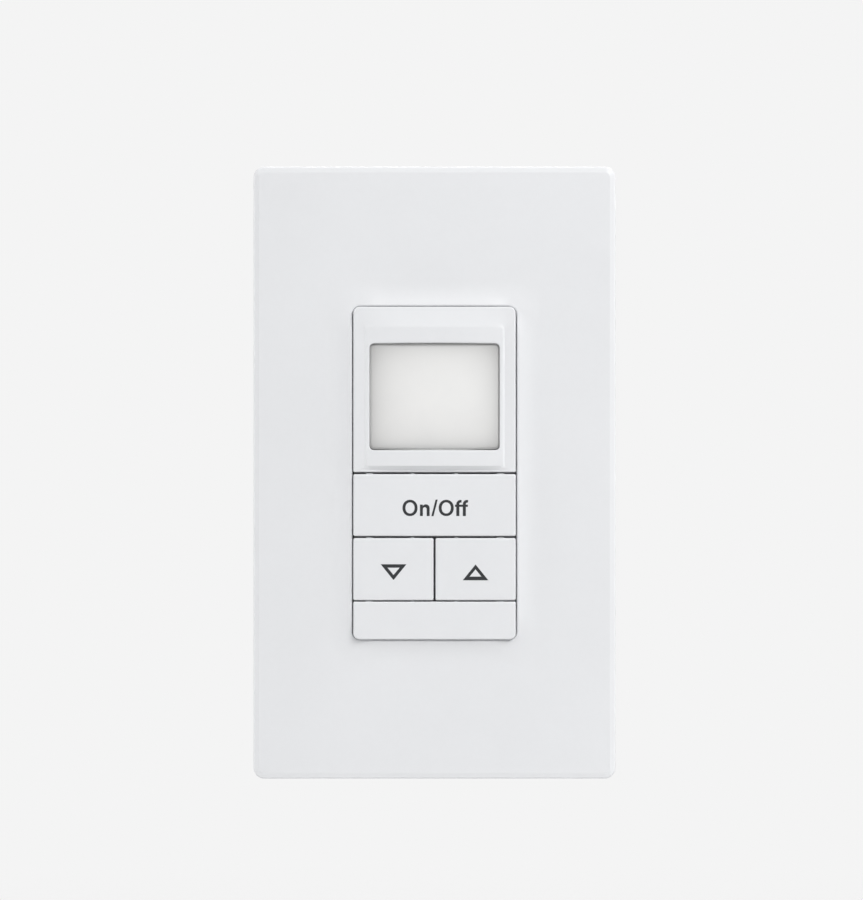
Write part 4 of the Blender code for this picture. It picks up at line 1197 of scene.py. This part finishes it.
for label, side in (("upper", 1), ("lower", -1)):
    turned_screw(
        f"plate_screw_{label}_fine", 3.4, 1.5, 1.7, 12.0, (0, -2.6, side * 48.4), "-Y",
        screw_steel, (0.9, 1.3, 0.8), f"plate_screw_{label}",
    )
    turned_screw(
        f"box_screw_{label}_fine", 3.7, 2.0, 1.75, 24.0, (0, -1.5, side * 41.65), "-Y",
        screw_steel, (1.0, 1.3, 1.0), f"box_screw_{label}", True, 0.79, 3.0,
    )
for label, (x, z) in (
    ("upper_right", POSTS[0]),
    ("upper_left", POSTS[1]),
    ("lower_right", POSTS[2]),
    ("lower_left", POSTS[3]),
):
    turned_screw(
        f"housing_screw_{label}_fine", 2.2, 1.6, 1.2, 13.4, (x, 7.3, z), "Y",
        screw_steel, (0.7, 0.62, 0.9), f"housing_screw_{label}", True, 1.0, 5.0,
    )

# ------------------------------------------------------------------ terminals
REAR_W, REAR_H = 21.35, 33.3
TERMINAL_Y, TERMINAL_HALF, TERMINAL_FACE = 18.5, 4.5, 20.9
TERMINALS = (("line", -1, 12.0), ("load", -1, -12.0), ("neutral", 1, 12.0))
for name, side, z in TERMINALS:
    finish = screw_steel if name == "neutral" else brass
    plate = box(
        f"{name}_terminal_plate_fine",
        sorted((side * TERMINAL_FACE, side * (TERMINAL_FACE - 1.0))),
        (TERMINAL_Y - TERMINAL_HALF, 24.2),
        (z - TERMINAL_HALF, z + TERMINAL_HALF),
    )
    join(
        plate,
        box("foot", sorted((side * 15.6, side * (TERMINAL_FACE - 0.5))), (23.3, 24.2), (z - 2.5, z + 2.5)),
    )
    cut(plate, rod("tap", 2.2, (side * 25, TERMINAL_Y, z), 8, "-X" if side > 0 else "X", 32))
    ease(plate, 0.16, 2)
    show(plate, finish, 32, f"{name}_terminal_plate")
    turned_screw(
        f"{name}_terminal_screw_fine", 3.6, 2.1, 1.85, 4.6,
        (side * (TERMINAL_FACE + 0.3), TERMINAL_Y, z), "X" if side > 0 else "-X",
        finish, (1.0, 1.3, 0.9), f"{name}_terminal_screw", True, 0.79, 0.3,
    )
turned_screw(
    "ground_screw_fine", 3.6, 2.3, 1.75, 3.4, (-16.9, 0.35, -29.2), "Y",
    green_steel, (1.0, 1.3, 1.0), "ground_screw", False, 0.79, 0.3,
)
block = box("dimming_terminal_block_fine", (12.8, 21.1), (26.5, 32.7), (-18.2, -5.8))
entries = []
for i, z in enumerate((-9.46, -14.54)):
    entries.append(rod("well", 1.9, (16.6, 29.6, z), 5, "Y", 32))
    entries.append(box("entry", (18.9, 23), (27.6, 30.6), (z - 1.6, z + 1.6)))
cut(block, *entries)
ease(block, 0.14, 2)
show(block, terminal_green, 32, "dimming_terminal_block")
for i, z in enumerate((-9.46, -14.54)):
    turned_screw(
        f"dimming_terminal_screw_{i + 1}_fine", 1.5, 1.3, 0.9, 0.9, (16.6, 31.0, z), "Y",
        screw_steel, (0.6, 1.3, 0.5), f"dimming_terminal_screw_{i + 1}", False, 0.5, 0.1,
    )

# --------------------------------------------------------------- rear housing
REAR_GRID = {"corner": 8, "along_x": 4, "along_z": 6}


def rear_ring(inset, y, radius=2.5):
    return at(
        outline(
            (-REAR_W + inset, REAR_W - inset), (-REAR_H + inset, REAR_H - inset), max(radius - inset, 0.4), **REAR_GRID
        ),
        y,
    )


rear_rings = [rear_ring(0.0, 0.45), rear_ring(0.0, 16.0)]
for a in quarter(6):
    rear_rings.append(rear_ring(1.0 * (1 - math.cos(a)), 32.0 + 1.0 * math.sin(a)))
rear_rings.append(rear_ring(4.0, 33.0))
rear = loft(
    "rear_housing_fine",
    [rear_ring(0.15, 0.3)] + rear_rings,
    cap_first=True,
    cap_last=True,
)
cut(rear, slab("hollow", outline((-19.55, 19.55), (-31.5, 31.5), 1.0, 6), (-1.7, 31.2)))
join(
    rear,
    *[rod("post", 3.5, (x, 0.6, z), 31.4, "Y", 40) for x, z in POSTS],
    box("ground_block", (-REAR_W + 0.4, -11.1), (0.3, 12.6), (-REAR_H + 0.4, -23.7)),
    box("ledge", (-REAR_W + 0.9, -16.2), (26.5, 32), (-22.0, 26.0)),
    box("ledge", (16.2, REAR_W - 0.9), (26.5, 32), (-2.0, 26.0)),
)
away = [box("ground_notch", (-REAR_W - 1, -12.4), (-2, 11.2), (-REAR_H - 1, -25.0))]
for x, z in POSTS:
    away.append(rod("hole", 1.55, (x, -2, z), 12, "Y", 28))
    away.append(rod("sink", 2.6, (x, 7.0, z), 30, "Y", 40))
for name, side, z in TERMINALS:
    away.append(
        box(
            "window",
            sorted((side * (REAR_W + 1), side * (REAR_W - 2.3))),
            (TERMINAL_Y - TERMINAL_HALF - 0.3, 24.6),
            (z - TERMINAL_HALF - 0.3, z + TERMINAL_HALF + 0.3),
        )
    )
away += [
    box("dimming_notch", (12.4, REAR_W + 1), (26.2, 34.0), (-18.55, -5.45)),
    slab("field", outline((-16.5, 9.5), (-21.0, 22.0), 1.0, 8), (32.7, 34.0)),
]
cut(rear, *away)
ease(rear, 0.18, 2, 40)
show(rear, black_plastic, 32, "rear_housing")

# ------------------------------------------------------------ mounting strap
strap = slab("mounting_strap_fine", outline((-21.5, 21.5), (-36.3, 36.3), 2.0, 8), (-1.2, 0.0))
added = []
for side in (-1, 1):
    added.append(box("neck", (-15.5, 15.5), (-1.2, 0.0), sorted((side * 34.3, side * 48.4))))
    added.append(
        slab("ear", outline((-21.8, 21.8), sorted((side * 46.4, side * 52.7)), 2.0, 8), (-1.2, 0.0))
    )
join(strap, *added)
away = [slab("opening", outline((-15.75, 15.75), (-27.5, 27.5), 1.5, 6), (-3, 2))]
for side in (-1, 1):
    z = side * 41.65
    away.append(slab("slot", outline((-3.6, 3.6), (z - 2.1, z + 2.1), 2.05, 12), (-3, 2)))
    away.append(rod("tap", 2.05, (0, -3, side * 48.4), 5, "Y", 36))
    for x in (-1, 1):
        away.append(
            box(
                "score",
                sorted((x * 16.2, x * 16.8)),
                (-2.2, -0.75),
                sorted((side * 44.4, side * 54.7)),
            )
        )
for x, z in POSTS:
    away.append(rod("post_hole", 1.75, (x, -3, z), 5, "Y", 32))
away.append(rod("ground_tap", 2.05, (-16.9, -3, -29.2), 5, "Y", 36))
cut(strap, *away)
ease(strap, 0.12, 2, 40)
show(strap, zinc_steel, 32, "mounting_strap")

# ----------------------------------------------------------- plate sub-frame
sub = slab("plate_subframe_fine", outline((-33.8, 33.8), (-58.7, 58.7), 1.5, 8), (-3.3, -0.3))
away = [
    slab("hollow", outline((-32.4, 32.4), (-57.3, 57.3), 1.0, 4), (-1.5, 1.0)),
    slab("opening", outline((-19.3, 19.3), (-36.1, 36.1), 2.0, 8), (-4.3, 1.0)),
]
for side in (-1, 1):
    for z in (-38.0, 38.0):
        away.append(box("gap", sorted((side * 34.8, side * 31.8)), (-1.5, 1), (z - 5, z + 5)))
    for x in (-17.0, 17.0):
        away.append(box("gap", (x - 5, x + 5), (-1.5, 1), sorted((side * 59.7, side * 56.7))))
    away.append(rod("head_clear", 4.3, (0, -5, side * 41.65), 6, "Y", 40))
    away.append(rod("sink", 3.9, (0, -5, side * 48.4), 2.7, "Y", 40))
    away.append(rod("hole", 2.1, (0, -5, side * 48.4), 6, "Y", 32))
    for x in (-21.5, 21.5):
        away.append(
            slab("window", outline((x - 5.5, x + 5.5), sorted((side * 41.5, side * 51.0)), 1.5, 6), (-4.3, 1.0))
        )
cut(sub, *away)
ease(sub, 0.15, 2, 40)
show(sub, frame_plastic, 32, "plate_subframe")

# ------------------------------------------------------------------ the stage
floor_mesh = bpy.data.meshes.new("floor")
bm = bmesh.new()
bmesh.ops.create_circle(bm, cap_ends=True, segments=96, radius=0.62)
bm.to_mesh(floor_mesh)
bm.free()
floor = bpy.data.objects.new("floor", floor_mesh)
floor.location = (0.0, 0.0, -0.16)
scene.collection.objects.link(floor)

BACKGROUND = 0.905
ground = bpy.data.materials.new("pale_floor")
ground.use_nodes = True
tree = ground.node_tree
shader = tree.nodes["Principled BSDF"]
shader.inputs["Base Color"].default_value = (0.82, 0.82, 0.82, 1.0)
shader.inputs["Roughness"].default_value = 0.9
shader.inputs["Specular IOR Level"].default_value = 0.1
place = tree.nodes.new("ShaderNodeTexCoord")
length = tree.nodes.new("ShaderNodeVectorMath")
length.operation = "LENGTH"
tree.links.new(place.outputs["Object"], length.inputs[0])
fade = tree.nodes.new("ShaderNodeMapRange")
fade.interpolation_type = "SMOOTHSTEP"
fade.inputs["From Min"].default_value = 0.15
fade.inputs["From Max"].default_value = 0.60
tree.links.new(length.outputs["Value"], fade.inputs["Value"])
clear_node = tree.nodes.new("ShaderNodeBsdfTransparent")
blend_node = tree.nodes.new("ShaderNodeMixShader")
tree.links.new(fade.outputs["Result"], blend_node.inputs[0])
tree.links.new(shader.outputs[0], blend_node.inputs[1])
tree.links.new(clear_node.outputs[0], blend_node.inputs[2])
tree.links.new(blend_node.outputs[0], tree.nodes["Material Output"].inputs["Surface"])
floor_mesh.materials.append(ground)

world = bpy.data.worlds.new("studio")
scene.world = world
world.use_nodes = True
tree = world.node_tree
tree.nodes.clear()
out = tree.nodes.new("ShaderNodeOutputWorld")
seen = tree.nodes.new("ShaderNodeBackground")
seen.inputs["Color"].default_value = (BACKGROUND, BACKGROUND, BACKGROUND, 1.0)
around = tree.nodes.new("ShaderNodeBackground")
around.inputs["Color"].default_value = (1.0, 1.0, 1.0, 1.0)
around.inputs["Strength"].default_value = 0.288
path = tree.nodes.new("ShaderNodeLightPath")
either = tree.nodes.new("ShaderNodeMixShader")
tree.links.new(path.outputs["Is Camera Ray"], either.inputs[0])
tree.links.new(around.outputs[0], either.inputs[1])
tree.links.new(seen.outputs[0], either.inputs[2])
tree.links.new(either.outputs[0], out.inputs["Surface"])


def area_light(name, place, aim, size, watts):
    light = bpy.data.lights.new(name, "AREA")
    light.shape = "DISK"
    light.size = size
    light.energy = watts
    obj = bpy.data.objects.new(name, light)
    obj.location = place
    obj.rotation_mode = "QUATERNION"
    obj.rotation_quaternion = (Vector(aim) - Vector(place)).to_track_quat("-Z", "Y")
    scene.collection.objects.link(obj)
    return obj


def toward(azimuth, elevation, distance):
    """A place seen from the object's middle: azimuth 0 is straight ahead of
    the front and grows to its right."""
    az, el = math.radians(azimuth), math.radians(elevation)
    return (
        distance * math.sin(az) * math.cos(el),
        -distance * math.cos(az) * math.cos(el),
        distance * math.sin(el),
    )


CENTRE = (0.0, 0.0, 0.0)
area_light("key_light", toward(40, 40, 0.95), CENTRE, 0.545, 6.78)
area_light("fill_light", toward(-40, 40, 1.2), CENTRE, 0.69, 2.62)
area_light("front_right_light", toward(30, 5, 1.4), CENTRE, 0.8, 0.6)
area_light("right_light", toward(91, 5, 1.4), CENTRE, 0.8, 4.6)
area_light("left_light", toward(-80, 5, 1.4), CENTRE, 0.8, 6.2)
area_light("left_rim_light", toward(-112, 8, 1.4), CENTRE, 0.8, 3.4)
area_light("back_light", toward(176, 25, 1.4), CENTRE, 0.9, 8.0)
area_light("top_light", toward(180, 78, 0.6), CENTRE, 0.26, 0.31)

camera_data = bpy.data.cameras.new("camera")
camera = bpy.data.objects.new("camera", camera_data)
scene.collection.objects.link(camera)
camera_data.lens = 120.0
camera_data.sensor_width = 36.0
camera_data.clip_start = 0.01
camera_data.clip_end = 20.0
camera.location = (-0.0006, -0.0068 - 0.600, 0.00455)
camera.rotation_euler = (math.radians(90), 0.0, 0.0)
scene.camera = camera

scene.view_settings.view_transform = "Standard"
scene.view_settings.look = "None"

bpy.context.view_layer.update()
